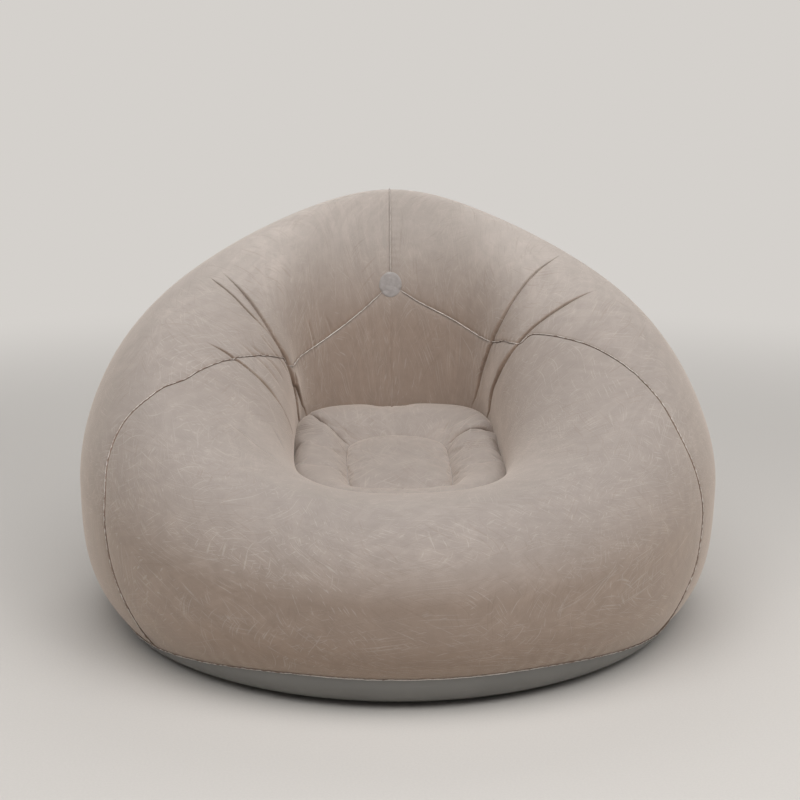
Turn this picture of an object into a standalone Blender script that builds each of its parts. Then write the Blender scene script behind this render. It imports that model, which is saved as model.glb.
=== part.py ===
"""Inflatable ball lounge chair: welded sheet panels round one air chamber, with its seat, ties and valve.

Metres, +Z up. The seat faces -Y, and the origin is on the floor under the middle of the body.
A place on the outer skin is given by two numbers. The turn is the angle round the seat from the front,
positive towards +X. The climb follows the skin: 0 at the base seam, 1 at the widest line, 2 on top of
the rim, 3 at the fullest line inside the well and 4 at the seam that joins the skin to the seat.
"""
import math

import bmesh
import bpy
from mathutils import Matrix, Vector
from mathutils.geometry import delaunay_2d_cdt

# Body
body_width = 1.07
body_depth = 1.04
back_height = 0.69
front_height = 0.287
arm_lift = 0.017

# Base
base_seam_front_radius = 0.49
base_seam_back_radius = 0.476
base_seam_front_height = 0.056
base_seam_back_height = 0.022
base_crescent_inner_angle = math.radians(18)
base_crescent_outer_angle = math.radians(68)
floor_ring_radius = 0.424
base_flare_angle = math.radians(50)

# Rim, measured from the middle of the seat
seat_middle_back = -0.02
rim_half_width = 0.393
rim_front_reach = 0.357
rim_back_reach = 0.258

# Well, measured from the middle of the seat
well_half_width = 0.192
well_front_reach = 0.23
well_back_reach = 0.25
well_seam_front_height = 0.19
well_seam_back_height = 0.24
well_lean_angle = math.radians(62)
bulge_side_overhang = 0.015
bulge_back_overhang = 0.015
bulge_front_setback = 0.02
bulge_front_rise = 0.045
bulge_back_rise = 0.09

# Seat ring and pillow
ring_rise = 0.057
ring_lean_angle = math.radians(35)
channel_depth = 0.03
pillow_half_width = 0.09
pillow_front_reach = 0.13
pillow_back_reach = 0.084
pillow_rise = 0.018
mitre_depth = 0.006
mitre_turns = (135, 150)

# Sheet
skin_wall = 0.001
band_wall = 0.0008
weld_gap = 0.0003
fin_height = 0.003
fin_foot_height = 0.0006
facet_length = 0.046

# Folds and dips of the skin
seam_dip = 0.004
seam_dip_width = 0.018
crease_depth = 0.012
crease_width = 0.011
crease_side = 0.016

# Patch where the three upper seams meet
patch_radius = 0.021
patch_margin = 0.004
patch_wall = 0.0006

# Valve
flange_radius = 0.028
flange_wall = 0.0015
neck_radius = 0.017
neck_length = 0.022
bore_radius = 0.014
valve_clearance = 0.0003
plug_length = 0.014
stopper_rim_radius = 0.020
stopper_rim_wall = 0.0025
port_radius = 0.006
cap_plug_length = 0.008
cap_rim_radius = 0.009
cap_rim_wall = 0.002
flap_radius = 0.008
flap_wall = 0.0008
strap_width = 0.006
strap_wall = 0.0012
strap_rise = 0.004

# Vents in the tie bands
vent_height = 0.05

# Places on the skin, as turn in degrees and climb
right_arm_seam_places = (
    (57, 0), (57.5, 0.43), (60.5, 0.7), (62.2, 0.95), (62.9, 1.25), (65, 1.55), (69.7, 1.79), (74.5, 1.97),
    (80.4, 2.08), (86.7, 2.19), (94.1, 2.33), (101, 2.44), (105.3, 2.505), (107.8, 2.59), (112, 2.635),
    (118, 2.67), (124, 2.715), (130, 2.745), (141, 2.765), (154.7, 2.745), (167.6, 2.71), (180, 2.65),
)
left_arm_seam_places = (
    (-57, 0), (-57.8, 0.44), (-61.8, 0.87), (-63.7, 1.18), (-67.3, 1.38), (-69.9, 1.59), (-71.7, 1.87),
    (-75.5, 2.08), (-79.3, 2.17), (-85.9, 2.31), (-92.9, 2.45), (-103.2, 2.6), (-110, 2.675),
    (-114.5, 2.715), (-117.5, 2.775), (-124, 2.8), (-130.6, 2.81), (-143.8, 2.82), (-156, 2.795),
    (-168.5, 2.735), (-180, 2.65),
)
left_arm_crease_places = ((-90.7, 2.2), (-89.7, 2.3), (-87.5, 2.49), (-85.7, 2.72))
left_back_crease_places = (
    (-116.3, 2.07), (-113.2, 2.35), (-112.5, 2.62), (-119.6, 2.85), (-130.3, 2.98), (-134.3, 3.09),
)
right_back_crease_places = (
    (120.6, 1.98), (119.9, 2.3), (123.7, 2.6), (130.8, 2.8), (136, 2.94), (139.9, 3.06),
)
right_arm_crease_places = (
    (105.9, 2.03), (105.3, 2.38), (107.4, 2.54), (110.5, 2.68), (116.3, 2.83), (122.2, 2.95), (128.6, 3.26),
)
valve_place = (150, 0.6)

# Counts
seam_steps = 6
crease_steps = 4
middle_steps = 60
strap_steps = 6
seat_sides = 48
band_rows = 3
vent_step = 4
ring_rows = 4
pillow_rows = 5
base_rows = 4
round_sides = 24
patch_sides = 20
pad_sides = 12
hole_sides = 16
slope_step = 1e-4
board_snap = 1e-9
row_climbs = (
    0.28, 0.55, 0.8, 1.04, 1.25, 1.45, 1.64, 1.82, 2.0, 2.17, 2.34, 2.51, 2.68, 2.84, 3.0, 3.35, 3.7,
)

bezier_share = 0.55
rim_front_bulge_share = 0.528
rim_back_bulge_share = 0.44
widest_front_share = 0.5
widest_back_share = 0.302
skirt_share = 0.8
waist_share = 0.486
crest_share = 0.45

# Drawing board on which the panels are laid out: the width of a radian of turn, then each stage of the climb
board_turn_share = 0.33
board_shares = (0.2, 0.33, 0.25, 0.1)

# Powers of the outlines: 2 is an ellipse, more is squarer
back_rise_power = 1.315
widest_drop_power = 2.5
bulge_power = 3.0
well_power = 3.0
rim_power = 2.23
pillow_power = 5.0
crown_power = 3.0

up = Vector((0, 0, 1))


def bezier(a, b, c, d, t):
    """Value at t of the cubic curve with ends a and d and handles b and c."""
    return (1 - t) ** 3 * a + 3 * (1 - t) ** 2 * t * b + 3 * (1 - t) * t * t * c + t ** 3 * d


def back_share(turn):
    """0 at the front, 1 at the back, smooth between."""
    return (1 - math.cos(turn)) / 2


def between(front, back, turn):
    """Value that goes from front to back with the turn."""
    return front + (back - front) * back_share(turn)


def to_ellipse(turn, half_width, half_depth):
    """Reach from the seat's middle to an ellipse about the origin."""
    across, along = math.sin(turn), -math.cos(turn)
    a = (across / half_width) ** 2 + (along / half_depth) ** 2
    b = 2 * seat_middle_back * along / half_depth ** 2
    c = (seat_middle_back / half_depth) ** 2 - 1
    return (-b + math.sqrt(b * b - 4 * a * c)) / (2 * a)


def to_outline(turn, half_width, front_reach, back_reach, power):
    """Reach from the seat's middle to a rounded outline about it."""
    reach = front_reach if math.cos(turn) > 0 else back_reach
    across, along = abs(math.sin(turn)) / half_width, abs(math.cos(turn)) / reach
    return (across ** power + along ** power) ** (-1 / power)


def placed(turn, reach, height):
    """Point at a turn, a reach from the seat's middle and a height."""
    return Vector((reach * math.sin(turn), seat_middle_back - reach * math.cos(turn), height))


def straight_out(turn):
    """Level direction away from the seat's middle."""
    return Vector((math.sin(turn), -math.cos(turn), 0))


def base_seam(turn):
    """Radius and height of the seam round the base: high over the crescent that shows in front."""
    share = (base_crescent_outer_angle - abs(turn)) / (base_crescent_outer_angle - base_crescent_inner_angle)
    share = min(1, max(0, share))
    share *= share * (3 - 2 * share)
    return (base_seam_back_radius + (base_seam_front_radius - base_seam_back_radius) * share,
            base_seam_back_height + (base_seam_front_height - base_seam_back_height) * share)


def well_seam(turn):
    """Reach and height of the seam between the skin and the seat."""
    reach = to_outline(turn, well_half_width, well_front_reach, well_back_reach, well_power)
    return reach, between(well_seam_front_height, well_seam_back_height, turn)


def pillow_seam(turn):
    """Reach and height of the seam between the seat ring and the pillow."""
    reach = to_outline(turn, pillow_half_width, pillow_front_reach, pillow_back_reach, pillow_power)
    return reach, well_seam(turn)[1] + ring_rise - channel_depth


def smooth_skin(turn, climb):
    """Point of the skin before seams and folds draw it in."""
    wide = to_ellipse(turn, body_width / 2, body_depth / 2)
    foot_radius, foot_height = base_seam(turn)
    foot = to_ellipse(turn, foot_radius, foot_radius)
    share = back_share(turn)
    top = front_height + (back_height - front_height) * share ** back_rise_power
    top += arm_lift * 4 * share * (1 - share)
    wide_share = widest_front_share + (widest_back_share - widest_front_share) * share ** widest_drop_power
    wide_height = base_seam_front_height + wide_share * (top - base_seam_front_height)
    rim = to_outline(turn, rim_half_width, rim_front_reach, rim_back_reach, rim_power)
    fold, fold_height = well_seam(turn)
    full = to_outline(turn, well_half_width - bulge_side_overhang, well_front_reach + bulge_front_setback,
                      well_back_reach - bulge_back_overhang, bulge_power)
    full_height = fold_height + between(bulge_front_rise, bulge_back_rise, turn)
    stage = min(int(climb), 3)
    t = climb - stage
    if stage == 0:
        flare = skirt_share / 2 * math.hypot(wide - foot, wide_height - foot_height)
        reach = bezier(foot, foot + flare * math.cos(base_flare_angle), wide, wide, t)
        height = bezier(foot_height, foot_height + flare * math.sin(base_flare_angle),
                        wide_height - waist_share * (wide_height - foot_height), wide_height, t)
    elif stage == 1:
        round_share = between(rim_front_bulge_share, rim_back_bulge_share, turn)
        reach = bezier(wide, wide, rim + round_share * (wide - rim), rim, t)
        height = bezier(wide_height, wide_height + round_share * (top - wide_height), top, top, t)
    elif stage == 2:
        reach = bezier(rim, rim - bezier_share * (rim - full), full, full, t)
        height = bezier(top, top, full_height + bezier_share * (top - full_height), full_height, t)
    else:
        drop = full_height - fold_height
        lean = drop * (1 - bezier_share)
        reach = bezier(full, full, fold - lean * math.cos(well_lean_angle), fold, t)
        height = bezier(full_height, full_height - bezier_share * drop,
                        fold_height + lean * math.sin(well_lean_angle), fold_height, t)
    return placed(turn, reach, height)


def skin_slopes(turn, climb):
    """The skin's change per radian of turn and per unit of climb."""
    low, high = max(climb - slope_step, 0), min(climb + slope_step, 4)
    across = smooth_skin(turn + slope_step, climb) - smooth_skin(turn - slope_step, climb)
    rise = smooth_skin(turn, high) - smooth_skin(turn, low)
    return across / (2 * slope_step), rise / (high - low)


def skin_normal(turn, climb):
    """Outward direction of the smooth skin."""
    round_slope, climb_slope = skin_slopes(turn, climb)
    return round_slope.cross(climb_slope).normalized()


def eased_path(places, steps):
    """Smooth path through places given as turn in degrees and climb; returns turns in radians."""
    path = []
    for index in range(len(places) - 1):
        before = Vector(places[max(index - 1, 0)])
        start, end = Vector(places[index]), Vector(places[index + 1])
        after = Vector(places[min(index + 2, len(places) - 1)])
        for step in range(steps):
            t = step / steps
            point = bezier(start, start + (end - before) / 6, end - (after - start) / 6, end, t)
            path.append((math.radians(point[0]), point[1]))
    path.append((math.radians(places[-1][0]), places[-1][1]))
    return path


def spaced(path, spacing):
    """Even points on a fine path over the skin, its ends kept."""
    points = [smooth_skin(*place) for place in path]
    run = [0]
    for first, second in zip(points, points[1:]):
        run.append(run[-1] + (second - first).length)
    count = max(2, round(run[-1] / spacing))
    even, index = [], 0
    for step in range(count + 1):
        goal = run[-1] * step / count
        while index < len(run) - 2 and run[index + 1] < goal:
            index += 1
        part = min(1, max(0, (goal - run[index]) / (run[index + 1] - run[index])))
        even.append(tuple(a + (b - a) * part for a, b in zip(path[index], path[index + 1])))
    return even


arm_seams = {
    side: eased_path(places, seam_steps) for side, places in ((1, right_arm_seam_places), (-1, left_arm_seam_places))
}
seam_end = arm_seams[1][-1]
back_seam = [(math.pi, seam_end[1] * step / middle_steps) for step in range(middle_steps + 1)]
creases = [eased_path(places, crease_steps) for places in (
    left_arm_crease_places, left_back_crease_places, right_back_crease_places, right_arm_crease_places)]


def traced(path):
    """Points of a path on the smooth skin."""
    return [smooth_skin(*place) for place in path]


def nearest(point, line):
    """Distance from a point to a line of points, and the share of the line's length at the nearest place."""
    best, where = None, 0
    for index, (first, second) in enumerate(zip(line, line[1:])):
        run = second - first
        t = min(1, max(0, (point - first).dot(run) / run.length_squared))
        away = (point - first - run * t).length
        if best is None or away < best:
            best, where = away, (index + t) / (len(line) - 1)
    return best, where


seam_lines = [traced(path) for path in (arm_seams[1], arm_seams[-1], back_seam)]
crease_lines = [traced(path) for path in creases]

valve_turn, valve_climb = math.radians(valve_place[0]), valve_place[1]
valve_point = smooth_skin(valve_turn, valve_climb)
valve_axis = skin_normal(valve_turn, valve_climb)
valve_side = up.cross(valve_axis).normalized()
valve_up = valve_axis.cross(valve_side)
pad_radius = flange_radius + facet_length / 8
pad_reach = pad_radius + facet_length * 3 / 4


def skin_point(turn, climb):
    """Point of the outer skin with its seam dips, its folds and the flat round the valve."""
    point = smooth_skin(turn, climb)
    depth = seam_dip * max(math.exp(-(nearest(point, line)[0] / seam_dip_width) ** 2) for line in seam_lines)
    depth *= min(1, climb)
    for line in crease_lines:
        away, where = nearest(point, line)
        depth += crease_depth * math.sin(math.pi * where) ** 0.5 * math.exp(-(away / crease_width) ** 2)
    point = point - depth * skin_normal(turn, climb)
    offset = point - valve_point
    stand = offset.dot(valve_axis)
    away = (offset - stand * valve_axis).length
    if away < pad_reach and abs(stand) < pad_reach:
        fade = min(1, max(0, (pad_reach - away) / (pad_reach - pad_radius)))
        point = point - stand * valve_axis * fade * fade * (3 - 2 * fade)
    return point


class Spot:
    """A vertex to be of a panel: its place on the skin, its point, its outward direction and its fin."""

    def __init__(self, turn, climb, point=None, outward=None, fin=0):
        self.turn, self.climb = turn, climb
        self.point = point or skin_point(turn, climb)
        self.outward = outward or skin_normal(turn, climb)
        self.fin = fin

    def flat(self):
        """The spot on the drawing board, where triangles are laid out."""
        stage = min(int(self.climb), 3)
        height = sum(board_shares[:stage]) + board_shares[stage] * (self.climb - stage)
        return Vector((self.turn * board_turn_share, height))


def seam_spots(path):
    """Spots along a seam that ends under the patch, each with a fin that runs low near it."""
    patch = smooth_skin(*seam_end)
    skirt = patch_radius + patch_margin
    free = [place for place in path if (smooth_skin(*place) - patch).length > skirt]
    spots = []
    for turn, climb in spaced(free, facet_length * 3 / 4) + [path[-1]]:
        away = (smooth_skin(turn, climb) - patch).length
        share = min(1, max(0, (away - 2 * skirt) / skirt))
        fin = fin_foot_height + (fin_height - fin_foot_height) * share
        outward = straight_out(turn) if climb == 0 else None
        spots.append(Spot(turn, climb, outward=outward, fin=fin))
    return spots


def base_spots(start, end):
    """Spots along the base seam, ends left out, with fins that point straight out."""
    count = round(abs(end - start) * base_seam_front_radius / facet_length)
    spots = []
    for step in range(1, count):
        turn = start + (end - start) * step / count
        spots.append(Spot(turn, 0, outward=straight_out(turn), fin=fin_height))
    return spots


def base_turns():
    """The turns at which the panels have their points on the base seam, once round."""
    right, left = arm_seams[1][0][0], arm_seams[-1][0][0]
    turns = [left, right, math.pi]
    for start, end in ((left, right), (right, math.pi), (left, -math.pi)):
        turns += [spot.turn for spot in base_spots(start, end)]
    return sorted(turns)


def seat_turns():
    """The turns at which the seat's pieces have their points."""
    return [-math.pi + 2 * math.pi * step / seat_sides for step in range(seat_sides)]


def inside(point, loop):
    """Whether a point on the drawing board is inside a closed loop."""
    odd = False
    for first, second in zip(loop, loop[1:] + loop[:1]):
        if (first.y > point.y) != (second.y > point.y):
            if point.x < first.x + (point.y - first.y) * (second.x - first.x) / (second.y - first.y):
                odd = not odd
    return odd


def free_of(point, others, distance):
    """Whether a point is further than a distance from all the others."""
    return all((point - other).length_squared > distance * distance for other in others)


def on_pad(across, rise):
    """Turn and climb of a point of the valve's pad."""
    round_slope, climb_slope = skin_slopes(valve_turn, valve_climb)
    offset = valve_side * across + valve_up * rise
    return (valve_turn + offset.dot(round_slope) / round_slope.length_squared,
            valve_climb + offset.dot(climb_slope) / climb_slope.length_squared)


def patch_circle():
    """Spots round the patch, between the seams."""
    round_slope, climb_slope = skin_slopes(*seam_end)
    radius = patch_radius + patch_margin
    spots = []
    for step in range(pad_sides):
        angle = 2 * math.pi * (step + 0.5) / pad_sides
        turn = seam_end[0] + radius * math.cos(angle) / round_slope.length
        climb = seam_end[1] + radius * math.sin(angle) / climb_slope.length
        spot = Spot(turn if turn < math.pi else turn - 2 * math.pi, climb)
        if min(nearest(smooth_skin(turn, climb), line)[0] for line in seam_lines) > radius / 4:
            spots.append(spot)
    return spots


def pad_circle(radius, sides, flat_on_pad):
    """Spots of a circle about the valve, on its flat pad or on the skin round it."""
    spots = []
    for step in range(sides):
        angle = 2 * math.pi * step / sides
        across, rise = radius * math.cos(angle), radius * math.sin(angle)
        turn, climb = on_pad(across, rise)
        point = valve_point + valve_side * across + valve_up * rise if flat_on_pad else None
        spots.append(Spot(turn, climb, point=point, outward=valve_axis if flat_on_pad else None))
    return spots


def inner_spots(loop, fixed):
    """Spots that fill a loop: fold lines first, then rows over the skin, clear of the loop and each other."""
    board = [spot.flat() for spot in loop]
    taken = [spot.point for spot in loop]
    taken += [spot.point for spot in fixed]
    spots = []
    lines = []

    def add(turn, climb, distance):
        spot = Spot(turn, climb)
        if inside(spot.flat(), board) and free_of(spot.point, taken, distance):
            spots.append(spot)
            return True
        return False

    for path in creases:
        run = []
        for turn, climb in spaced(path, facet_length / 2):
            if add(turn, climb, crease_side * 3 / 4):
                run.append(spots[-1])
        lines.append(run)
    taken += [spot.point for run in lines for spot in run]
    sides = []
    for run in lines:
        for spot in run:
            round_slope, climb_slope = skin_slopes(spot.turn, spot.climb)
            for side in (-crease_side, crease_side):
                if add(spot.turn + side / round_slope.length, spot.climb, crease_side * 3 / 4):
                    sides.append(spots[-1].point)
    taken += sides
    for row, climb in enumerate(row_climbs):
        length = 2 * math.pi * to_row(climb)
        count = round(length / facet_length)
        for step in range(count):
            turn = -math.pi + 2 * math.pi * (step + row % 2 / 2) / count
            if add(turn, climb, facet_length * 5 / 8):
                taken.append(spots[-1].point)
    return spots, lines


def to_row(climb):
    """Mean reach of a row of the skin."""
    points = [smooth_skin(turn, climb) for turn in (0, math.pi / 2, math.pi)]
    middle = Vector((0, seat_middle_back, 0))
    return sum((Vector((point.x, point.y, 0)) - middle).length for point in points) / len(points)


def triangles_in(loop, hole, spots, lines):
    """Triangles over the spots inside the loop and outside the hole, turned to face outwards."""
    every = loop + hole + spots
    number = {id(spot): index for index, spot in enumerate(every)}
    flats = [spot.flat() for spot in every]
    edges = [(index, (index + 1) % len(loop)) for index in range(len(loop))]
    edges += [(len(loop) + index, len(loop) + (index + 1) % len(hole)) for index in range(len(hole))]
    for run in lines:
        edges += [(number[id(first)], number[id(second)]) for first, second in zip(run, run[1:])
                  if (second.point - first.point).length < facet_length]
    board = delaunay_2d_cdt(flats, edges, [], 0, board_snap)
    origin = [sources[0] for sources in board[3]]
    outer, inner = flats[:len(loop)], flats[len(loop):len(loop) + len(hole)]
    faces = []
    for face in board[2]:
        middle = sum((board[0][corner] for corner in face), Vector((0, 0))) / len(face)
        if inside(middle, outer) and not (hole and inside(middle, inner)):
            corners = [origin[corner] for corner in face]
            first, second, third = (flats[corner] for corner in corners)
            if (second - first).cross(third - first) < 0:
                corners.reverse()
            faces.append(corners)
    return every, faces


def sheet_mesh(spots, faces):
    """A closed sheet: the outer skin, its inner side, and a turned-out fin along each edge that has one."""
    used = sorted({corner for face in faces for corner in face})
    directed = {(face[i], face[(i + 1) % 3]) for face in faces for i in range(3)}
    onward = {a: b for a, b in directed if (b, a) not in directed}
    backward = {b: a for a, b in onward.items()}
    mesh = bmesh.new()
    outside, within, strips = {}, {}, {}
    for index in used:
        spot = spots[index]
        if index not in onward:
            outside[index] = mesh.verts.new(spot.point)
            within[index] = mesh.verts.new(spot.point - skin_wall * spot.outward)
            continue
        ahead = (spots[onward[index]].point - spot.point).normalized()
        behind = (spot.point - spots[backward[index]].point).normalized()
        first = spot.outward.cross(behind).normalized()
        second = spot.outward.cross(ahead).normalized()
        inward = (first + second) / (1 + first.dot(second))
        edge = spot.point + inward * (weld_gap / 2)
        within[index] = mesh.verts.new(edge - skin_wall * spot.outward)
        if spot.fin:
            root = spot.point + inward * (weld_gap / 2 + skin_wall)
            outside[index] = mesh.verts.new(root)
            tips = [mesh.verts.new(foot + spot.fin * spot.outward) for foot in (root, edge)]
        else:
            outside[index] = mesh.verts.new(edge)
            tips = []
        strips[index] = [outside[index]] + tips + [within[index]]
    for face in faces:
        mesh.faces.new([outside[corner] for corner in face])
        mesh.faces.new([within[corner] for corner in reversed(face)])
    for start, end in onward.items():
        first, second = strips[start], strips[end]
        for low, high, next_low, next_high in zip(first, first[1:], second, second[1:]):
            mesh.faces.new([next_low, low, high, next_high])
    return mesh


def material(name, colour, roughness, metallic=0, clear=0):
    """A Principled material."""
    made = bpy.data.materials.new(name)
    made.use_nodes = True
    shader = made.node_tree.nodes["Principled BSDF"]
    shader.inputs["Base Color"].default_value = (*colour, 1)
    shader.inputs["Roughness"].default_value = roughness
    shader.inputs["Metallic"].default_value = metallic
    shader.inputs["Transmission Weight"].default_value = clear
    return made


def part(name, mesh, finish, parent=None, place=None):
    """Make an object of a bmesh, seated under a parent at a place in the parent's axes."""
    bmesh.ops.recalc_face_normals(mesh, faces=mesh.faces)
    bmesh.ops.triangulate(mesh, faces=[face for face in mesh.faces if len(face.verts) > 3])
    data = bpy.data.meshes.new(name)
    mesh.to_mesh(data)
    mesh.free()
    data.shade_smooth()
    data.set_sharp_from_angle(angle=math.radians(40))
    data.materials.append(finish)
    made = bpy.data.objects.new(name, data)
    bpy.context.scene.collection.objects.link(made)
    made.parent = parent
    if place:
        made.location = place
    return made


def front_panel(finish):
    """The panel over the front and the arms, on round the lower inside of the back."""
    right, left = seam_spots(arm_seams[1]), seam_spots(arm_seams[-1])
    floor = base_spots(left[0].turn, right[0].turn)
    below = [(math.pi, 4 + (seam_end[1] - 4) * step / middle_steps) for step in range(middle_steps + 1)]
    climbs = [spot.climb for spot in seam_spots(below)[-2::-1]]
    wrap_right = [Spot(math.pi, climb) for climb in climbs]
    wrap_left = [Spot(-math.pi, climb) for climb in climbs]
    well = [Spot(turn, 4) for turn in reversed(seat_turns()[1:])]
    loop = floor + right + wrap_right + well + wrap_left[::-1] + left[::-1]
    board = [spot.flat() for spot in loop]
    fixed = [spot for spot in patch_circle() if inside(spot.flat(), board)]
    spots, lines = inner_spots(loop, fixed)
    every, faces = triangles_in(loop, [], fixed + spots, lines)
    number = {id(spot): index for index, spot in enumerate(every)}
    same = {number[id(two)]: number[id(one)] for one, two in zip(wrap_right, wrap_left)}
    same[number[id(left[-1])]] = number[id(right[-1])]
    faces = [[same.get(corner, corner) for corner in face] for face in faces]
    return part("front_panel", sheet_mesh(every, faces), finish)


def back_panel(name, side, finish):
    """One of the two panels over the back, from the arm seam to the seam down the middle."""
    seam = seam_spots(arm_seams[side])
    middle = seam_spots([(side * turn, climb) for turn, climb in back_seam])
    floor = base_spots(seam[0].turn, side * math.pi)
    loop = floor + middle + seam[-2::-1]
    board = [spot.flat() for spot in loop]
    hole = []
    pads = [spot for spot in patch_circle() if inside(spot.flat(), board)]
    if side > 0:
        hole = pad_circle(neck_radius + valve_clearance, hole_sides, True)
        pads += pad_circle(pad_radius, pad_sides, True) + pad_circle(pad_reach, pad_sides, False)
    spots, lines = inner_spots(loop, hole + pads)
    spots = [spot for spot in spots
             if not hole or (spot.point - valve_point).length > pad_reach + facet_length / 2]
    every, faces = triangles_in(loop, hole, pads + spots, [[s for s in run if s in spots] for run in lines])
    return part(name, sheet_mesh(every, faces), finish)


def tube_rows(rows, closed=True):
    """A mesh skinned over rows of points, each row running round once."""
    mesh = bmesh.new()
    made = [[mesh.verts.new(point) for point in row] for row in rows]
    pairs = list(zip(made, made[1:])) + ([(made[-1], made[0])] if closed else [])
    for first, second in pairs:
        for index in range(len(first)):
            ahead = (index + 1) % len(first)
            mesh.faces.new([first[index], first[ahead], second[ahead], second[index]])
    return mesh, made


def thick_profile(points, wall):
    """A closed band of the given thickness under an open line of reaches and heights."""
    under = []
    for index, (reach, height) in enumerate(points):
        before = points[max(index - 1, 0)]
        after = points[min(index + 1, len(points) - 1)]
        across, rise = after[0] - before[0], after[1] - before[1]
        run = math.hypot(across, rise)
        under.append((reach - wall * rise / run, height + wall * across / run))
    return points + under[::-1]


def ring_profile(turn):
    """Section of the seat ring from the well's seam over its crest down to the channel."""
    outer, outer_height = well_seam(turn)
    inner, inner_height = pillow_seam(turn)
    outer -= 2 * weld_gap
    inner += weld_gap
    crest = outer + (inner - outer) * crest_share
    crest_height = outer_height + ring_rise
    dip = sum(mitre_depth for mark in mitre_turns if abs(abs(turn) - math.radians(mark)) < slope_step)
    lean = (outer - crest) * bezier_share
    line = []
    for step in range(ring_rows):
        t = step / ring_rows
        reach = bezier(outer, outer - lean * math.cos(ring_lean_angle), crest + lean, crest, t)
        height = bezier(outer_height, outer_height + lean * math.sin(ring_lean_angle),
                        crest_height, crest_height, t)
        line.append((reach, height - dip * t))
    for step in range(ring_rows + 1):
        t = step / ring_rows
        reach = bezier(crest, crest - bezier_share * (crest - inner), inner, inner, t)
        height = bezier(crest_height, crest_height,
                        inner_height + bezier_share * (crest_height - inner_height), inner_height, t)
        line.append((reach, height - dip * (1 - t)))
    return thick_profile(line, skin_wall)


def seat_ring(finish):
    """The tube of the seat round its pillow."""
    sections = [[placed(turn, *point) for point in ring_profile(turn)] for turn in seat_turns()]
    return part("seat_ring", tube_rows(sections)[0], finish)


def seat_pillow(finish):
    """The crowned middle of the seat."""
    outer, under = [], []
    for row in range(pillow_rows):
        angle = math.pi / 2 * row / pillow_rows
        across, up_share = (part ** (2 / crown_power) for part in (math.cos(angle), math.sin(angle)))
        for rows, wall in ((outer, 0), (under, skin_wall)):
            ring = []
            for turn in seat_turns():
                reach, height = pillow_seam(turn)
                ring.append(placed(turn, (reach - weld_gap - wall) * across,
                                   height + (pillow_rise - wall) * up_share))
            rows.append(ring)
    mesh, made = tube_rows(under[::-1] + outer, closed=False)
    for ring, wall in ((made[-1], 0), (made[0], skin_wall)):
        crown = sum((vert.co for vert in ring), Vector()) / len(ring)
        crown.z = pillow_seam(math.pi / 2)[1] + pillow_rise - wall
        top = mesh.verts.new(crown)
        for index in range(len(ring)):
            mesh.faces.new([ring[index], ring[(index + 1) % len(ring)], top])
    return part("seat_pillow", mesh, finish)


def base_profile(turn):
    """Section of the base sheet as radii and heights, its weld fin included."""
    lift = weld_gap / 2
    seam_radius, seam_height = base_seam(turn)
    side = seam_height - lift - skin_wall
    line = [(seam_radius + fin_height, seam_height - lift), (seam_radius + fin_height, side)]
    bend = floor_ring_radius + (seam_radius - floor_ring_radius) * bezier_share
    for step in range(base_rows + 1):
        t = step / base_rows
        line.append((bezier(seam_radius, seam_radius, bend, floor_ring_radius, t),
                     bezier(side, side * (1 - bezier_share), 0, 0, t)))
    line.append((floor_ring_radius / 2, 0))
    outside = line[2:]
    for index in range(len(outside) - 1, -1, -1):
        before, after = outside[max(index - 1, 0)], outside[min(index + 1, len(outside) - 1)]
        run = math.hypot(after[0] - before[0], after[1] - before[1])
        line.append((outside[index][0] - skin_wall * (before[1] - after[1]) / run,
                     outside[index][1] + skin_wall * (before[0] - after[0]) / run))
    line[-1] = (seam_radius - skin_wall, seam_height - lift)
    split = len(line) // 2 + 1
    return line[split:] + line[:split]


def base_sheet(finish):
    """The smooth sheet that the chair stands on, with its weld fin under the panels' fin."""
    sections = []
    for turn in base_turns():
        sections.append([placed(turn, to_ellipse(turn, radius, radius), height)
                         for radius, height in base_profile(turn)])
    mesh, made = tube_rows(list(zip(*sections)), closed=False)
    for ring in (made[0], made[-1]):
        middle = mesh.verts.new(sum((vert.co for vert in ring), Vector()) / len(ring))
        for index in range(len(ring)):
            mesh.faces.new([ring[index], ring[(index + 1) % len(ring)], middle])
    return part("base_sheet", mesh, finish)


def tie_band(name, seam, finish):
    """An inner wall that holds a seat seam down to the base, with windows that let the air through."""
    low = skin_wall + weld_gap
    mesh = bmesh.new()
    rings = []
    for row in range(band_rows + 1):
        ring = []
        for turn in seat_turns():
            reach, top = seam(turn)
            top -= weld_gap
            middle = (low + top) / 2
            height = (low, middle - vent_height / 2, middle + vent_height / 2, top)[row]
            ring.append(mesh.verts.new(placed(turn, reach, height)))
        rings.append(ring)
    for row, (first, second) in enumerate(zip(rings, rings[1:])):
        for index in range(seat_sides):
            if row == 1 and index % vent_step == 0:
                continue
            ahead = (index + 1) % seat_sides
            mesh.faces.new([first[index], first[ahead], second[ahead], second[index]])
    made = part(name, mesh, finish)
    wall = made.modifiers.new("wall", "SOLIDIFY")
    wall.thickness = band_wall
    wall.offset = 0
    wall.use_even_offset = True
    return made


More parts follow.
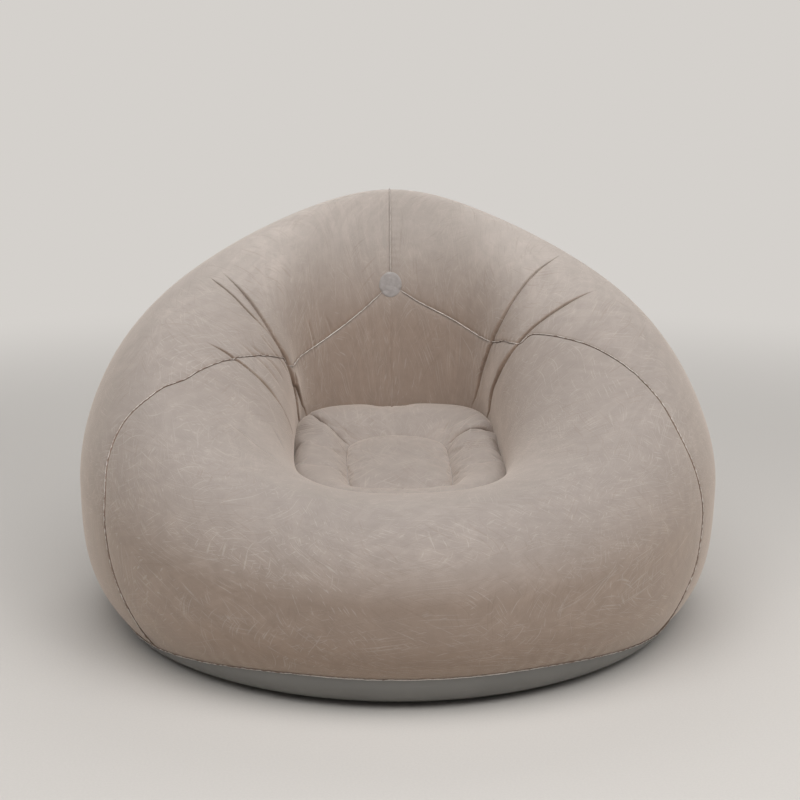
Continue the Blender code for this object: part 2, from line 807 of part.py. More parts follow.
def seam_patch(finish):
    """The clear disc welded over the place where the upper seams meet."""
    turn, climb = seam_end
    round_slope, climb_slope = skin_slopes(turn, climb)
    rows = []
    for share in (0.5, 1):
        ring = []
        for step in range(patch_sides):
            angle = 2 * math.pi * step / patch_sides
            across, rise = math.cos(angle) * share * patch_radius, math.sin(angle) * share * patch_radius
            ring.append((turn + across / round_slope.length, climb + rise / climb_slope.length))
        rows.append(ring)
    stand = fin_foot_height + weld_gap

    def lifted(place, height):
        return skin_point(*place) + height * skin_normal(*place)

    top = [[lifted(place, stand + patch_wall) for place in ring] for ring in rows]
    bottom = [[lifted(place, stand) for place in ring] for ring in rows]
    mesh, made = tube_rows([bottom[0], bottom[1], top[1], top[0]], closed=False)
    for ring, height in ((made[0], stand), (made[-1], stand + patch_wall)):
        middle = mesh.verts.new(lifted(seam_end, height))
        for index in range(len(ring)):
            mesh.faces.new([ring[index], ring[(index + 1) % len(ring)], middle])
    return part("seam_patch", mesh, finish)


def circle(radius, height):
    """Points of a circle about the local Z axis."""
    angles = [2 * math.pi * step / round_sides for step in range(round_sides)]
    return [Vector((radius * math.cos(angle), radius * math.sin(angle), height)) for angle in angles]


def turned(profile):
    """A turned ring about the local Z axis from a closed profile of radii and heights."""
    return tube_rows([circle(radius, height) for radius, height in profile])[0]


def turned_plug(profile):
    """A turned solid about the local Z axis, its profile's first and last circles closed by flat faces."""
    mesh, made = tube_rows([circle(radius, height) for radius, height in profile], closed=False)
    mesh.faces.new(made[0])
    mesh.faces.new(made[-1])
    return mesh


def strap(start, end, start_height, end_height):
    """An arched strip that runs down the local -Y side, between two reaches and heights."""
    mesh = bmesh.new()
    sections = []
    for step in range(strap_steps + 1):
        t = step / strap_steps
        reach = start + (end - start) * t
        height = start_height + (end_height - start_height) * t + strap_rise * math.sin(math.pi * t)
        section = []
        for side, layer in ((-1, 0), (1, 0), (1, 1), (-1, 1)):
            section.append(mesh.verts.new((side * strap_width / 2, -reach, height + layer * strap_wall)))
        sections.append(section)
    for first, second in zip(sections, sections[1:]):
        for index in range(4):
            ahead = (index + 1) % 4
            mesh.faces.new([first[index], first[ahead], second[ahead], second[index]])
    mesh.faces.new(sections[0])
    mesh.faces.new(sections[-1])
    return mesh


def valve(soft, clear):
    """The two-way valve: a flange and neck, a stopper with a small cap, a flap and two straps."""
    seat = bpy.data.objects.new("valve_seat", None)
    bpy.context.scene.collection.objects.link(seat)
    axes = Matrix((valve_side, valve_up, valve_axis)).transposed().to_4x4()
    seat.matrix_world = Matrix.Translation(valve_point) @ axes
    flange_top = valve_clearance + flange_wall
    rim_low = flange_top + valve_clearance
    rim_top = rim_low + stopper_rim_wall
    plug_low = rim_low - plug_length
    plug_radius = bore_radius - valve_clearance
    part("valve_base", turned([
        (flange_radius, valve_clearance), (flange_radius, flange_top), (bore_radius, flange_top),
        (bore_radius, -neck_length), (neck_radius, -neck_length),
        (neck_radius, valve_clearance)]), soft, seat)
    stopper = part("valve_stopper", turned([
        (stopper_rim_radius, rim_low), (stopper_rim_radius, rim_top), (port_radius, rim_top),
        (port_radius, plug_low), (plug_radius, plug_low), (plug_radius, rim_low)]), soft, seat)
    cap_low = rim_top + valve_clearance
    cap_plug = port_radius - valve_clearance
    part("valve_cap", turned_plug([
        (cap_plug, cap_low - cap_plug_length), (cap_plug, cap_low), (cap_rim_radius, cap_low),
        (cap_rim_radius, cap_low + cap_rim_wall)]), soft, stopper)
    flap_top = plug_low - valve_clearance
    part("valve_flap", turned_flap(), clear, stopper, Vector((0, flap_radius, flap_top)))
    part("stopper_strap", strap(flange_radius - strap_wall, stopper_rim_radius + valve_clearance,
                                rim_low, rim_low), soft, seat)
    part("cap_strap", strap(stopper_rim_radius - strap_wall, cap_rim_radius + valve_clearance,
                            cap_low, cap_low), soft, stopper)


def turned_flap():
    """The flap's disc, below its hinge edge, which is the origin."""
    mesh = turned_plug([(flap_radius, 0), (flap_radius, -flap_wall)])
    bmesh.ops.translate(mesh, verts=mesh.verts, vec=(0, -flap_radius, 0))
    return mesh


def main():
    """Clear the scene and make every piece."""
    for old in list(bpy.data.objects):
        bpy.data.objects.remove(old, do_unlink=True)
    flock = material("flocked_sheet", (0.42, 0.34, 0.29), 0.95)
    smooth = material("smooth_sheet", (0.38, 0.39, 0.39), 0.45)
    inner = material("inner_sheet", (0.5, 0.5, 0.5), 0.5)
    soft = material("valve_plastic", (0.55, 0.55, 0.55), 0.4)
    clear = material("clear_sheet", (0.6, 0.6, 0.62), 0.25, clear=0.6)
    front_panel(flock)
    back_panel("back_panel_left", -1, flock)
    back_panel("back_panel_right", 1, flock)
    seat_ring(flock)
    seat_pillow(flock)
    base_sheet(smooth)
    tie_band("ring_tie_band", well_seam, inner)
    tie_band("pillow_tie_band", pillow_seam, inner)
    seam_patch(clear)
    valve(soft, clear)


main()
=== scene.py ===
"""Looks of the inflatable ball lounge chair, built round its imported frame.

Metres, +Z up. The seat faces -Y, and the origin is on the floor under the middle of the body.
A place on the outer skin has a turn, the angle round the seat from the front, positive towards +X,
and a climb: 0 at the base seam, 1 at the widest line, 2 on top of the rim, 3 at the fullest line
inside the well and 4 at the seam that joins the skin to the seat.
"""
import logging
from collections.abc import Iterator
from contextlib import contextmanager
from dataclasses import dataclass, field
from enum import Enum
from math import atan2, copysign, cos, pi, radians, sin

import bmesh
import bpy
import numpy as np
from bpy.types import Material, Mesh, Node, NodeSocket, NodeTree, Object
from mathutils import Matrix, Vector, kdtree, noise
from mathutils.geometry import delaunay_2d_cdt


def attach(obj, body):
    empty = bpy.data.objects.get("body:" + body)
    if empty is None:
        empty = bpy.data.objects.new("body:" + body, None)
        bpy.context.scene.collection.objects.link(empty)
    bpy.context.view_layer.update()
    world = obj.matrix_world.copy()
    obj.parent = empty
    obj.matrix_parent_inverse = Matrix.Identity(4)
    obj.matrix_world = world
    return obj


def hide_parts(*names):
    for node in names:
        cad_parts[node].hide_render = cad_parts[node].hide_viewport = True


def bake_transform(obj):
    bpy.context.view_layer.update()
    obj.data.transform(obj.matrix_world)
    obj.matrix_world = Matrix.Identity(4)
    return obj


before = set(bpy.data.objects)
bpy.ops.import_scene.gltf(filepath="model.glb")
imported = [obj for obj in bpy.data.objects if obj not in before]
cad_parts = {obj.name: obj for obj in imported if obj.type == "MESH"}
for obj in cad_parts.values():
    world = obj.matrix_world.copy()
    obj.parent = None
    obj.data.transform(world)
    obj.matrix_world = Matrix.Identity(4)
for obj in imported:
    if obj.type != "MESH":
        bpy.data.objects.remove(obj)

log = logging.getLogger("lounge_chair")

Pair = tuple[float, float]
Triple = tuple[float, float, float]
Array = np.ndarray
Values = float | Array
Wire = NodeSocket | float | tuple[float, ...]

MM = 0.001
FULL_TURN = 2 * pi
SHEET_MAP = "Sheet"
# Attribute that marks the seat tube's mitre folds for painted shade.
PAINTED_FOLD_SHADE_MAP = "fold"


class Slot(Enum):
    """The record's material slots."""

    FLOCK = "flocked_sheet"
    SMOOTH = "smooth_sheet"
    INNER = "inner_sheet"
    MOULDED = "valve_plastic"
    CLEAR = "clear_sheet"


def bezier(a: Values, b: Values, c: Values, d: Values, t: Values) -> Values:
    """Value at t of the cubic curve with ends a and d and handles b and c."""
    return (1 - t) ** 3 * a + 3 * (1 - t) ** 2 * t * b + 3 * (1 - t) * t * t * c + t ** 3 * d


def eased(value: Array) -> Array:
    """Smooth step of a value from 0 to 1."""
    held = np.clip(value, 0, 1)
    return held * held * (3 - 2 * held)


def stepped(value: Array, span: Pair) -> Array:
    """Smooth step of a value from 0 at one end of a span to 1 at the other."""
    return eased((value - span[0]) / (span[1] - span[0]))


def unit(vectors: Array) -> Array:
    """The vectors at length 1."""
    return vectors / np.maximum(np.linalg.norm(vectors, axis=-1, keepdims=True), 1e-12)


def wander(run: Array, step: float, seed: int) -> Array:
    """Smooth noise from -1 to 1 along a run.

    Args:
        run: Distances along a line.
        step: Distance over which the noise changes.
        seed: Which noise it is.

    Returns:
        The noise at each distance.
    """
    place = run / step
    if not place.size:
        return place
    knots = np.random.default_rng(seed).uniform(-1, 1, int(place.max()) + 3)
    low = np.floor(place).astype(int)
    return knots[low] + (knots[low + 1] - knots[low]) * eased(place - low)


def swells(points: Array, length: float) -> Array:
    """Soft noise over points, from about -1 to 1, that changes over a length."""
    return np.array([noise.noise(Vector(point) / length) for point in points])


def all_round(count: int) -> Array:
    """Even turns round the whole seat."""
    return np.linspace(-pi, pi, count, endpoint=False)


def sideways(turn: Array) -> Array:
    """Level directions away from the seat's middle."""
    return np.stack([np.sin(turn), -np.cos(turn), 0 * turn], -1)


@dataclass(frozen=True)
class SkinForm:
    """The smooth inflated skin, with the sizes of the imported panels."""

    width: float = 1.07
    depth: float = 1.04
    back_height: float = 0.69
    front_height: float = 0.287
    arm_lift: float = 0.017
    base_radii: Pair = (0.49, 0.476)
    base_heights: Pair = (0.056, 0.022)
    crescent: Pair = (radians(18), radians(68))
    base_flare: float = radians(50)
    middle_back: float = -0.02
    rim_reaches: Triple = (0.393, 0.357, 0.258)
    well_reaches: Triple = (0.192, 0.23, 0.25)
    well_heights: Pair = (0.19, 0.24)
    well_lean: float = radians(62)
    side_overhang: float = 0.015
    front_setback: float = 0.02
    bulge_rises: Pair = (0.045, 0.09)
    bezier_share: float = 0.55
    rim_shares: Pair = (0.528, 0.44)
    widest_shares: Pair = (0.5, 0.302)
    skirt_share: float = 0.8
    waist_share: float = 0.486
    back_rise_power: float = 1.315
    widest_drop_power: float = 2.5
    bulge_power: float = 3.0
    well_power: float = 3.0
    rim_power: float = 2.23
    board_turn: float = 0.343
    board_stages: tuple[float, ...] = (0.208, 0.343, 0.26, 0.104)
    slope_step: float = 1e-4

    def between(self, ends: Pair, turn: Array) -> Array:
        """Value that goes from the front's to the back's with the turn."""
        return ends[0] + (ends[1] - ends[0]) * (1 - np.cos(turn)) / 2

    def to_ellipse(self, turn: Array, half_width: float, half_depth: float) -> Array:
        """Reach from the seat's middle to an ellipse about the origin."""
        across, along = np.sin(turn), -np.cos(turn)
        a = (across / half_width) ** 2 + (along / half_depth) ** 2
        b = 2 * self.middle_back * along / half_depth ** 2
        c = (self.middle_back / half_depth) ** 2 - 1
        return (-b + np.sqrt(b * b - 4 * a * c)) / (2 * a)

    def to_outline(self, turn: Array, reaches: Triple, power: float) -> Array:
        """Reach from the seat's middle to a rounded outline about it.

        Args:
            turn: Angles round the seat.
            reaches: Half width, front reach and back reach.
            power: 2 for an ellipse, more for a squarer outline.

        Returns:
            The reach at each turn.
        """
        reach = np.where(np.cos(turn) > 0, reaches[1], reaches[2])
        across, along = np.abs(np.sin(turn)) / reaches[0], np.abs(np.cos(turn)) / reach
        return (across ** power + along ** power) ** (-1 / power)

    def placed(self, turn: Array, reach: Array, height: Array) -> Array:
        """Points at turns, reaches from the seat's middle and heights."""
        back = self.middle_back - reach * np.cos(turn)
        return np.stack([reach * np.sin(turn), back, height + 0 * turn], -1)

    def base_seam(self, turn: Array) -> tuple[Array, Array]:
        """Radius and height of the seam round the base: high over the crescent that shows in front."""
        inner, outer = self.crescent
        share = eased((outer - np.abs(turn)) / (outer - inner))
        return tuple(back + (front - back) * share for front, back in (self.base_radii, self.base_heights))

    def well_seam(self, turn: Array) -> tuple[Array, Array]:
        """Reach and height of the seam between the skin and the seat."""
        reach = self.to_outline(turn, self.well_reaches, self.well_power)
        return reach, self.between(self.well_heights, turn)

    def point(self, turn: Values, climb: Values) -> Array:
        """Points of the skin before seams and folds draw it in."""
        turn, climb = np.broadcast_arrays(np.asarray(turn, float), np.asarray(climb, float))
        foot_radius, low = self.base_seam(turn)
        foot = self.to_ellipse(turn, foot_radius, foot_radius)
        wide = self.to_ellipse(turn, self.width / 2, self.depth / 2)
        back = (1 - np.cos(turn)) / 2
        top = self.front_height + (self.back_height - self.front_height) * back ** self.back_rise_power
        top = top + self.arm_lift * 4 * back * (1 - back)
        front_wide, back_wide = self.widest_shares
        wide_share = front_wide + (back_wide - front_wide) * back ** self.widest_drop_power
        wide_height = self.base_heights[0] + wide_share * (top - self.base_heights[0])
        rim = self.to_outline(turn, self.rim_reaches, self.rim_power)
        fold, fold_height = self.well_seam(turn)
        half, front, rear = self.well_reaches
        inner = (half - self.side_overhang, front + self.front_setback, rear - self.side_overhang)
        full = self.to_outline(turn, inner, self.bulge_power)
        full_height = fold_height + self.between(self.bulge_rises, turn)
        stage = np.minimum(climb.astype(int), 3)
        t = climb - stage
        flare = self.skirt_share / 2 * np.hypot(wide - foot, wide_height - low)
        rounding = self.between(self.rim_shares, turn)
        curl = self.bezier_share
        drop = full_height - fold_height
        lean = drop * (1 - curl)
        reach = np.choose(stage, [
            bezier(foot, foot + flare * cos(self.base_flare), wide, wide, t),
            bezier(wide, wide, rim + rounding * (wide - rim), rim, t),
            bezier(rim, rim - curl * (rim - full), full, full, t),
            bezier(full, full, fold - lean * cos(self.well_lean), fold, t)])
        height = np.choose(stage, [
            bezier(low, low + flare * sin(self.base_flare),
                   wide_height - self.waist_share * (wide_height - low), wide_height, t),
            bezier(wide_height, wide_height + rounding * (top - wide_height), top, top, t),
            bezier(top, top, full_height + curl * (top - full_height), full_height, t),
            bezier(full_height, full_height - curl * drop,
                   fold_height + lean * sin(self.well_lean), fold_height, t)])
        return self.placed(turn, reach, height)

    def slopes(self, turn: Values, climb: Values) -> tuple[Array, Array]:
        """The skin's change per radian of turn and per unit of climb."""
        turn, climb = np.asarray(turn, float), np.asarray(climb, float)
        low, high = np.maximum(climb - self.slope_step, 0), np.minimum(climb + self.slope_step, 4)
        across = self.point(turn + self.slope_step, climb) - self.point(turn - self.slope_step, climb)
        rise = self.point(turn, high) - self.point(turn, low)
        return across / (2 * self.slope_step), rise / (high - low)[..., None]

    def normal(self, turn: Values, climb: Values) -> Array:
        """Outward directions of the smooth skin."""
        return unit(np.cross(*self.slopes(turn, climb)))

    def shifted(self, turn: Array, climb: Array, offset: Array) -> tuple[Array, Array]:
        """Places moved over the skin by small offsets in space.

        Args:
            turn: Turns of the places.
            climb: Climbs of the places.
            offset: Offsets in the skin's tangent planes.

        Returns:
            The new turns and climbs.
        """
        a, b = self.slopes(turn, climb)
        aa, ab, bb = (a * a).sum(-1), (a * b).sum(-1), (b * b).sum(-1)
        ao, bo = (a * offset).sum(-1), (b * offset).sum(-1)
        spread = aa * bb - ab * ab
        return turn + (ao * bb - bo * ab) / spread, climb + (bo * aa - ao * ab) / spread

    def board(self, turn: Array, climb: Array) -> Array:
        """Places on the flat board where triangles are laid out."""
        marks = np.concatenate([[0], np.cumsum(self.board_stages)])
        return np.stack([turn * self.board_turn, np.interp(climb, range(5), marks)], -1)

    def unboard(self, flat: Array) -> tuple[Array, Array]:
        """Turns and climbs of points on the board."""
        marks = np.concatenate([[0], np.cumsum(self.board_stages)])
        return flat[:, 0] / self.board_turn, np.interp(flat[:, 1], marks, range(5))


@dataclass(frozen=True)
class SkinPath:
    """A smooth line over the skin through places given as turn in degrees and climb."""

    places: tuple[Pair, ...]
    steps: int = 16

    def fine(self) -> Array:
        """Closely spaced turns, in radians, and climbs along the line."""
        marks = np.array(self.places, float)
        marks[:, 0] = np.radians(marks[:, 0])
        padded = np.concatenate([marks[:1], marks, marks[-1:]])
        rows = []
        for before, start, end, after in zip(padded, padded[1:], padded[2:], padded[3:]):
            t = np.linspace(0, 1, self.steps, endpoint=False)[:, None]
            rows.append(bezier(start, start + (end - before) / 6, end - (after - start) / 6, end, t))
        return np.concatenate([*rows, marks[-1:]])

    def even(self, form: SkinForm, spacing: float) -> Array:
        """Turns and climbs at even distances along the line, its ends kept."""
        fine = self.fine()
        points = form.point(fine[:, 0], fine[:, 1])
        run = np.concatenate([[0], np.cumsum(np.linalg.norm(np.diff(points, axis=0), axis=1))])
        goals = np.linspace(0, run[-1], max(2, round(run[-1] / spacing)) + 1)
        return np.stack([np.interp(goals, run, fine[:, k]) for k in (0, 1)], -1)

    def mirrored(self) -> "SkinPath":
        """The same line on the other side."""
        return SkinPath(tuple((-turn, climb) for turn, climb in self.places), self.steps)


@dataclass(frozen=True)
class Crease:
    """A fold where the skin on the arm's side rolls over the skin on the back's side."""

    path: SkinPath
    lift: float = 4 * MM
    drop: float = 4 * MM
    nose: float = 3.4 * MM
    overhang: float = 1.8 * MM
    lip_reach: float = 26 * MM
    groove_reach: float = 2.2 * MM
    slope_reach: float = 26 * MM
    narrow_share: float = 0.4
    fade_in: float = 85 * MM
    fade_out: float = 120 * MM
    seed: int = 1


@dataclass(frozen=True)
class Dent:
    """A fine wrinkle, the same on both sides of its line."""

    path: SkinPath
    depth: float = 1.6 * MM
    reach: float = 3.5 * MM
    fade: float = 25 * MM


def crease(seed: int, *places: Pair, narrow_share: float = Crease.narrow_share, **sizes: float) -> Crease:
    """A fold through places, with sizes in millimetres."""
    lengths = {name: size * MM for name, size in sizes.items()}
    return Crease(SkinPath(places), narrow_share=narrow_share, seed=seed, **lengths)


def dent(*places: Pair, sizes: tuple[float, ...]) -> Dent:
    """A fine wrinkle through places, with its depth, reach and fade in millimetres."""
    return Dent(SkinPath(places), *(size * MM for size in sizes))


@dataclass(frozen=True)
class Nearby:
    """How points lie to a line: distance, side, run along it, and the direction across it."""

    away: Array
    side: Array
    run: Array
    across: Array
    total: float


def near_line(points: Array, normals: Array, line: Array, reach: float) -> Nearby:
    """Measure points against a line over the skin.

    Args:
        points: The points.
        normals: The skin's outward directions there.
        line: Points of the line.
        reach: Distance past which a point is left out, at infinite distance.

    Returns:
        What was measured at every point.
    """
    away, side, run = np.full(len(points), np.inf), np.zeros(len(points)), np.zeros(len(points))
    across = np.zeros_like(points)
    steps = np.diff(line, axis=0)
    lengths = np.linalg.norm(steps, axis=1)
    runs = np.concatenate([[0], np.cumsum(lengths)])
    close = np.all((points > line.min(0) - reach) & (points < line.max(0) + reach), axis=1)
    chosen = np.flatnonzero(close)
    for block in np.array_split(chosen, max(1, len(chosen) * len(steps) // 3_000_000)):
        offset = points[block, None] - line[None, :-1]
        t = np.clip((offset * steps).sum(-1) / lengths ** 2, 0, 1)
        gap = offset - t[..., None] * steps
        distance = np.linalg.norm(gap, axis=-1)
        best = distance.argmin(1)
        row = np.arange(len(block))
        direction = unit(np.cross(normals[block], steps[best]))
        away[block] = distance[row, best]
        side[block] = (gap[row, best] * direction).sum(-1)
        run[block] = runs[best] + t[row, best] * lengths[best]
        across[block] = direction
    away[away > reach] = np.inf
    return Nearby(away, side, run, across, runs[-1])


class Skin:
    """The three flocked panels with their seams, folds and puckers."""

    ARM_SEAMS = {
        "arm_right": SkinPath((
            (57, 0), (57.5, 0.43), (60.5, 0.7), (62.2, 0.95), (62.9, 1.25), (65, 1.55), (69.7, 1.79),
            (74.5, 1.97), (80.4, 2.08), (86.7, 2.19), (94.1, 2.33), (101, 2.44), (105.3, 2.505),
            (107.8, 2.59), (112, 2.635), (118, 2.67), (124, 2.715), (130, 2.745), (141, 2.765),
            (154.7, 2.745), (167.6, 2.71), (180, 2.65))),
        "arm_left": SkinPath((
            (57, 0), (57.8, 0.44), (61.8, 0.87), (63.7, 1.18), (67.3, 1.38), (69.9, 1.59), (71.7, 1.87),
            (75.5, 2.08), (79.3, 2.17), (85.9, 2.31), (92.9, 2.45), (103.2, 2.6), (110, 2.675),
            (114.5, 2.715), (117.5, 2.775), (124, 2.8), (130.6, 2.81), (143.8, 2.82), (156, 2.795),
            (168.5, 2.735), (180, 2.65))).mirrored()}
    CREASES = (
        crease(3, (-116.3, 2.07), (-114.5, 2.2), (-113.2, 2.35), (-112.2, 2.48), (-112.5, 2.62),
               (-116, 2.74), (-119.6, 2.85), (-130.3, 2.98), (-134.3, 3.09), (-139, 3.5), lift=3.8, drop=5),
        crease(4, (-113, 2.06), (-111.8, 2.15), (-110.6, 2.28), (-109.8, 2.41), (-110.9, 2.53),
               (-113, 2.64), lift=2, drop=3, nose=2.5, overhang=1, fade_in=35, fade_out=90,
               lip_reach=14, slope_reach=9, narrow_share=0.6),
        crease(5, (-90.7, 2.2), (-90.1, 2.25), (-89.7, 2.3), (-88.7, 2.38), (-87.5, 2.49),
               (-86.4, 2.62), (-85.7, 2.72), (-87, 2.84), lift=2.2, drop=2.8, nose=2.5, overhang=1,
               fade_in=50, fade_out=75, lip_reach=20, slope_reach=14),
        crease(6, (120.6, 1.98), (119.5, 2.13), (119.9, 2.3), (121, 2.45), (123.7, 2.6), (127.7, 2.72),
               (130.8, 2.8), (134.5, 2.89), (136, 2.94), (139.9, 3.06), (143, 3.4)),
        crease(7, (105.9, 2.03), (105, 2.21), (105.3, 2.38), (107.4, 2.54), (110.5, 2.68),
               (116.3, 2.83), (122.2, 2.95), (128.6, 3.26), (131, 3.5), lift=4.2, drop=3.5),
        crease(8, (-119.5, 2.8), (-122.1, 2.89), (-123.8, 2.96), (-125.4, 3.06), (-128, 3.3),
               lift=1.5, drop=2.5, nose=2.5, overhang=0.8, fade_in=22, fade_out=20,
               lip_reach=12, slope_reach=8),
    )
    DENTS = (
        dent((180, 2.74), (180.5, 2.86), (180, 3.0), (179.5, 3.2), sizes=(2.2, 4, 40)),
        dent((-140.5, 2.7), (-141.7, 2.74), (-143, 2.79), (-144.2, 2.87), sizes=(1.7, 2.6, 12)),
        dent((-150.3, 2.72), (-152.2, 2.76), (-153.5, 2.81), sizes=(1.2, 2.6, 12)),
        dent((-96.3, 2.38), (-95.5, 2.48), (-95.8, 2.59), (-95.9, 2.66), (-95.7, 2.72), sizes=(2.1, 2.8)),
        dent((-98.4, 2.44), (-98.6, 2.5), (-101.3, 2.63), (-102.3, 2.69), (-102.2, 2.75), sizes=(2.1, 2.8)),
        dent((-106, 2.47), (-106.4, 2.56), (-107.7, 2.63), (-111.3, 2.73), (-114.2, 2.8), sizes=(1.8, 2.6)),
        dent((-109.2, 2.46), (-107.9, 2.56), (-109, 2.64), sizes=(1.2, 2.4, 15)),
        dent((-84.5, 2.73), (-85.5, 2.85), (-87.5, 2.97), sizes=(1.2, 2.8, 15)),
        dent((-60.4, 2.25), (-56.8, 2.3), (-52.6, 2.34), (-48.9, 2.37), (-46.5, 2.41), (-41, 2.42),
             sizes=(1.7, 3.2)),
        dent((-67.5, 2.58), (-65, 2.62), (-61.6, 2.66), (-55.7, 2.68), sizes=(1.5, 3, 30)),
        dent((126, 2.1), (126.5, 2.28), (130, 2.5), sizes=(1.0, 4, 40)),
    )
    VALVE_PLACE = (radians(150), 0.6)

    def __init__(self, form: SkinForm) -> None:
        """Keep the form and work out the lines of the seams and folds."""
        self.form = form
        self.wall = 1 * MM
        self.dips = ((1.3 * MM, 2.6 * MM), (0.6 * MM, 8 * MM), (0.3 * MM, 20 * MM))
        self.pucker_height = 0.7 * MM
        self.pucker_length = 12 * MM
        self.pucker_reach = 11 * MM
        self.base_pucker_height = 0.9 * MM
        self.base_pucker_length = 26 * MM
        self.base_pucker_reach = 30 * MM
        self.swell_height = 1.6 * MM
        self.swell_length = 170 * MM
        self.row_spacing = 6 * MM
        self.line_spacing = 3 * MM
        self.seam_rows = np.array([1, 2.2, 3.8, 6, 9, 13.5, 19]) * MM
        self.crease_spacing = 2.2 * MM
        self.nose_rows = np.array([0.3, 0.7, 1.2, 1.8, 2.5, 3.3, 4.2, 5.2]) * MM
        self.lip_rows = np.array([6.6, 8.5, 11, 14, 18, 23, 29]) * MM
        self.edge_rows = np.array([0.6, 1.5]) * MM
        self.groove_rows = np.array([2.8, 4.5, 7, 10, 14, 19, 25]) * MM
        self.dent_rows = np.array([0, 1.2, 2.6, 4.4, 7]) * MM
        self.foot_rows = np.array([3, 7, 12, 18, 25]) * MM
        self.foot_points = 640
        self.last_climb = 3.97
        self.pad_radius = 34 * MM
        self.pad_reach = 68 * MM
        self.hole_radius = 17.3 * MM
        self.hole_sides = 64
        self.fin_foot = 0.25
        self.patch_edge = 12 * MM
        self.patch_low = 21 * MM
        self.patch_clear = 6 * MM
        end = self.ARM_SEAMS["arm_right"].places[-1]
        self.centre_seam = SkinPath(((180, 0), (180, 1), (180, 2), end))
        self.seams = {**self.ARM_SEAMS, "back_centre": self.centre_seam}
        self.lines = {name: self.traced(path) for name, path in self.seams.items()}
        self.crease_lines = [self.traced(crease.path) for crease in self.CREASES]
        self.dent_lines = [self.traced(dent.path) for dent in self.DENTS]
        turn, climb = self.VALVE_PLACE
        self.valve_point = form.point(turn, climb)
        self.valve_axis = form.normal(turn, climb)

    def traced(self, path: SkinPath) -> Array:
        """Points of a path on the smooth skin."""
        even = path.even(self.form, 4 * MM)
        return self.form.point(even[:, 0], even[:, 1])

    def crease_offset(self, crease: Crease, line: Array, turn: Array, points: Array, normals: Array) -> Array:
        """How one fold moves the skin.

        Args:
            crease: The fold.
            line: Its line on the smooth skin.
            turn: Turns of the points.
            points: The points on the smooth skin.
            normals: Outward directions there.

        Returns:
            An offset for each point.
        """
        near = near_line(points, normals, line, 70 * MM)
        hit = np.flatnonzero(np.isfinite(near.away))
        if not len(hit):
            return np.zeros_like(points)
        front = np.stack([-np.cos(turn[hit]), -np.sin(turn[hit]), 0 * hit], -1) * -np.sign(turn[hit])[:, None]
        lip_sign = np.sign(np.median((near.across[hit] * front).sum(-1)))
        across = near.across[hit] * lip_sign
        away = near.away[hit] * np.sign(near.side[hit] * lip_sign + 1e-12)
        run = near.run[hit]
        strength = eased(run / crease.fade_in) * eased((near.total - run) / crease.fade_out)
        strength = strength * (1 + 0.2 * wander(run, 45 * MM, crease.seed))
        lip, groove = np.maximum(away, 0), np.maximum(-away, 0)
        round_share = np.minimum(lip / crease.nose, 1)
        nose = np.sqrt(1 - (1 - round_share) ** 2)
        rolled = (crease.drop + crease.lift) * nose - crease.drop
        beyond = crease.lift * np.exp(-(np.maximum(lip - crease.nose, 0) / crease.lip_reach) ** 2)
        sunk = -crease.drop * (crease.narrow_share * np.exp(-groove / crease.groove_reach)
                               + (1 - crease.narrow_share) * np.exp(-(groove / crease.slope_reach) ** 2))
        height = np.where(away < 0, sunk, np.where(lip < crease.nose, rolled, beyond))
        over = -crease.overhang * (1 - np.exp(-lip / (0.5 * MM))) * np.exp(-(lip / (1.2 * crease.nose)) ** 2)
        offset = np.zeros_like(points)
        offset[hit] = strength[:, None] * (height[:, None] * normals[hit] + over[:, None] * across)
        return offset

    def dent_offset(self, points: Array, normals: Array) -> Array:
        """How far the fine wrinkles draw the skin in, along the normals."""
        total = np.zeros(len(points))
        for dent, line in zip(self.DENTS, self.dent_lines):
            near = near_line(points, normals, line, 6 * dent.reach)
            hit = np.isfinite(near.away)
            run, away = near.run[hit], near.away[hit]
            strength = eased(run / dent.fade) * eased((near.total - run) / dent.fade)
            ratio = away / dent.reach
            shape = 1.35 * np.exp(-ratio ** 2) - 0.35 * np.exp(-(ratio / 2.4) ** 2)
            total[hit] -= dent.depth * strength * shape
        return total

    def seam_offset(self, points: Array, normals: Array, climb: Array) -> Array:
        """How far the seams draw the skin in, with the puckers beside them, along the normals."""
        deepest = np.zeros(len(points))
        pucker = np.zeros(len(points))
        for number, (name, line) in enumerate(self.lines.items()):
            near = near_line(points, normals, line, 60 * MM)
            away = np.where(np.isfinite(near.away), near.away, 1)
            depth = sum(depth * np.exp(-(away / reach) ** 2) for depth, reach in self.dips)
            if name == "back_centre":
                depth = depth * (1 - 0.85 * np.exp(-((climb - 1.95) / 0.4) ** 2))
            deepest = np.maximum(deepest, depth)
            seed = 50 + 4 * number + (near.side > 0)
            for mark in np.unique(seed):
                on = (seed == mark) & np.isfinite(near.away)
                run = near.run[on]
                phase = FULL_TURN * run / self.pucker_length + 2.5 * wander(run, 40 * MM, int(mark))
                size = 0.55 + 0.45 * wander(run, 55 * MM, int(mark) + 100)
                pucker[on] += (self.pucker_height * size * np.cos(phase)
                               * np.exp(-away[on] / self.pucker_reach) * (1 - np.exp(-away[on] / (2 * MM))))
        return (pucker - deepest) * np.minimum(1, climb * 3)

    def base_offset(self, turn: Array, climb: Array, points: Array) -> Array:
        """Puckers above the base seam, along the normals."""
        run = (turn + pi) * self.form.base_radii[0]
        above = points[:, 2] - self.form.base_seam(turn)[1]
        phase = FULL_TURN * run / self.base_pucker_length + 2 * wander(run, 60 * MM, 7)
        size = 0.5 + 0.5 * wander(run, 90 * MM, 8)
        low = (climb < 1) * np.exp(-above / self.base_pucker_reach) * (1 - np.exp(-above / (4 * MM)))
        return self.base_pucker_height * size * np.cos(phase) * low

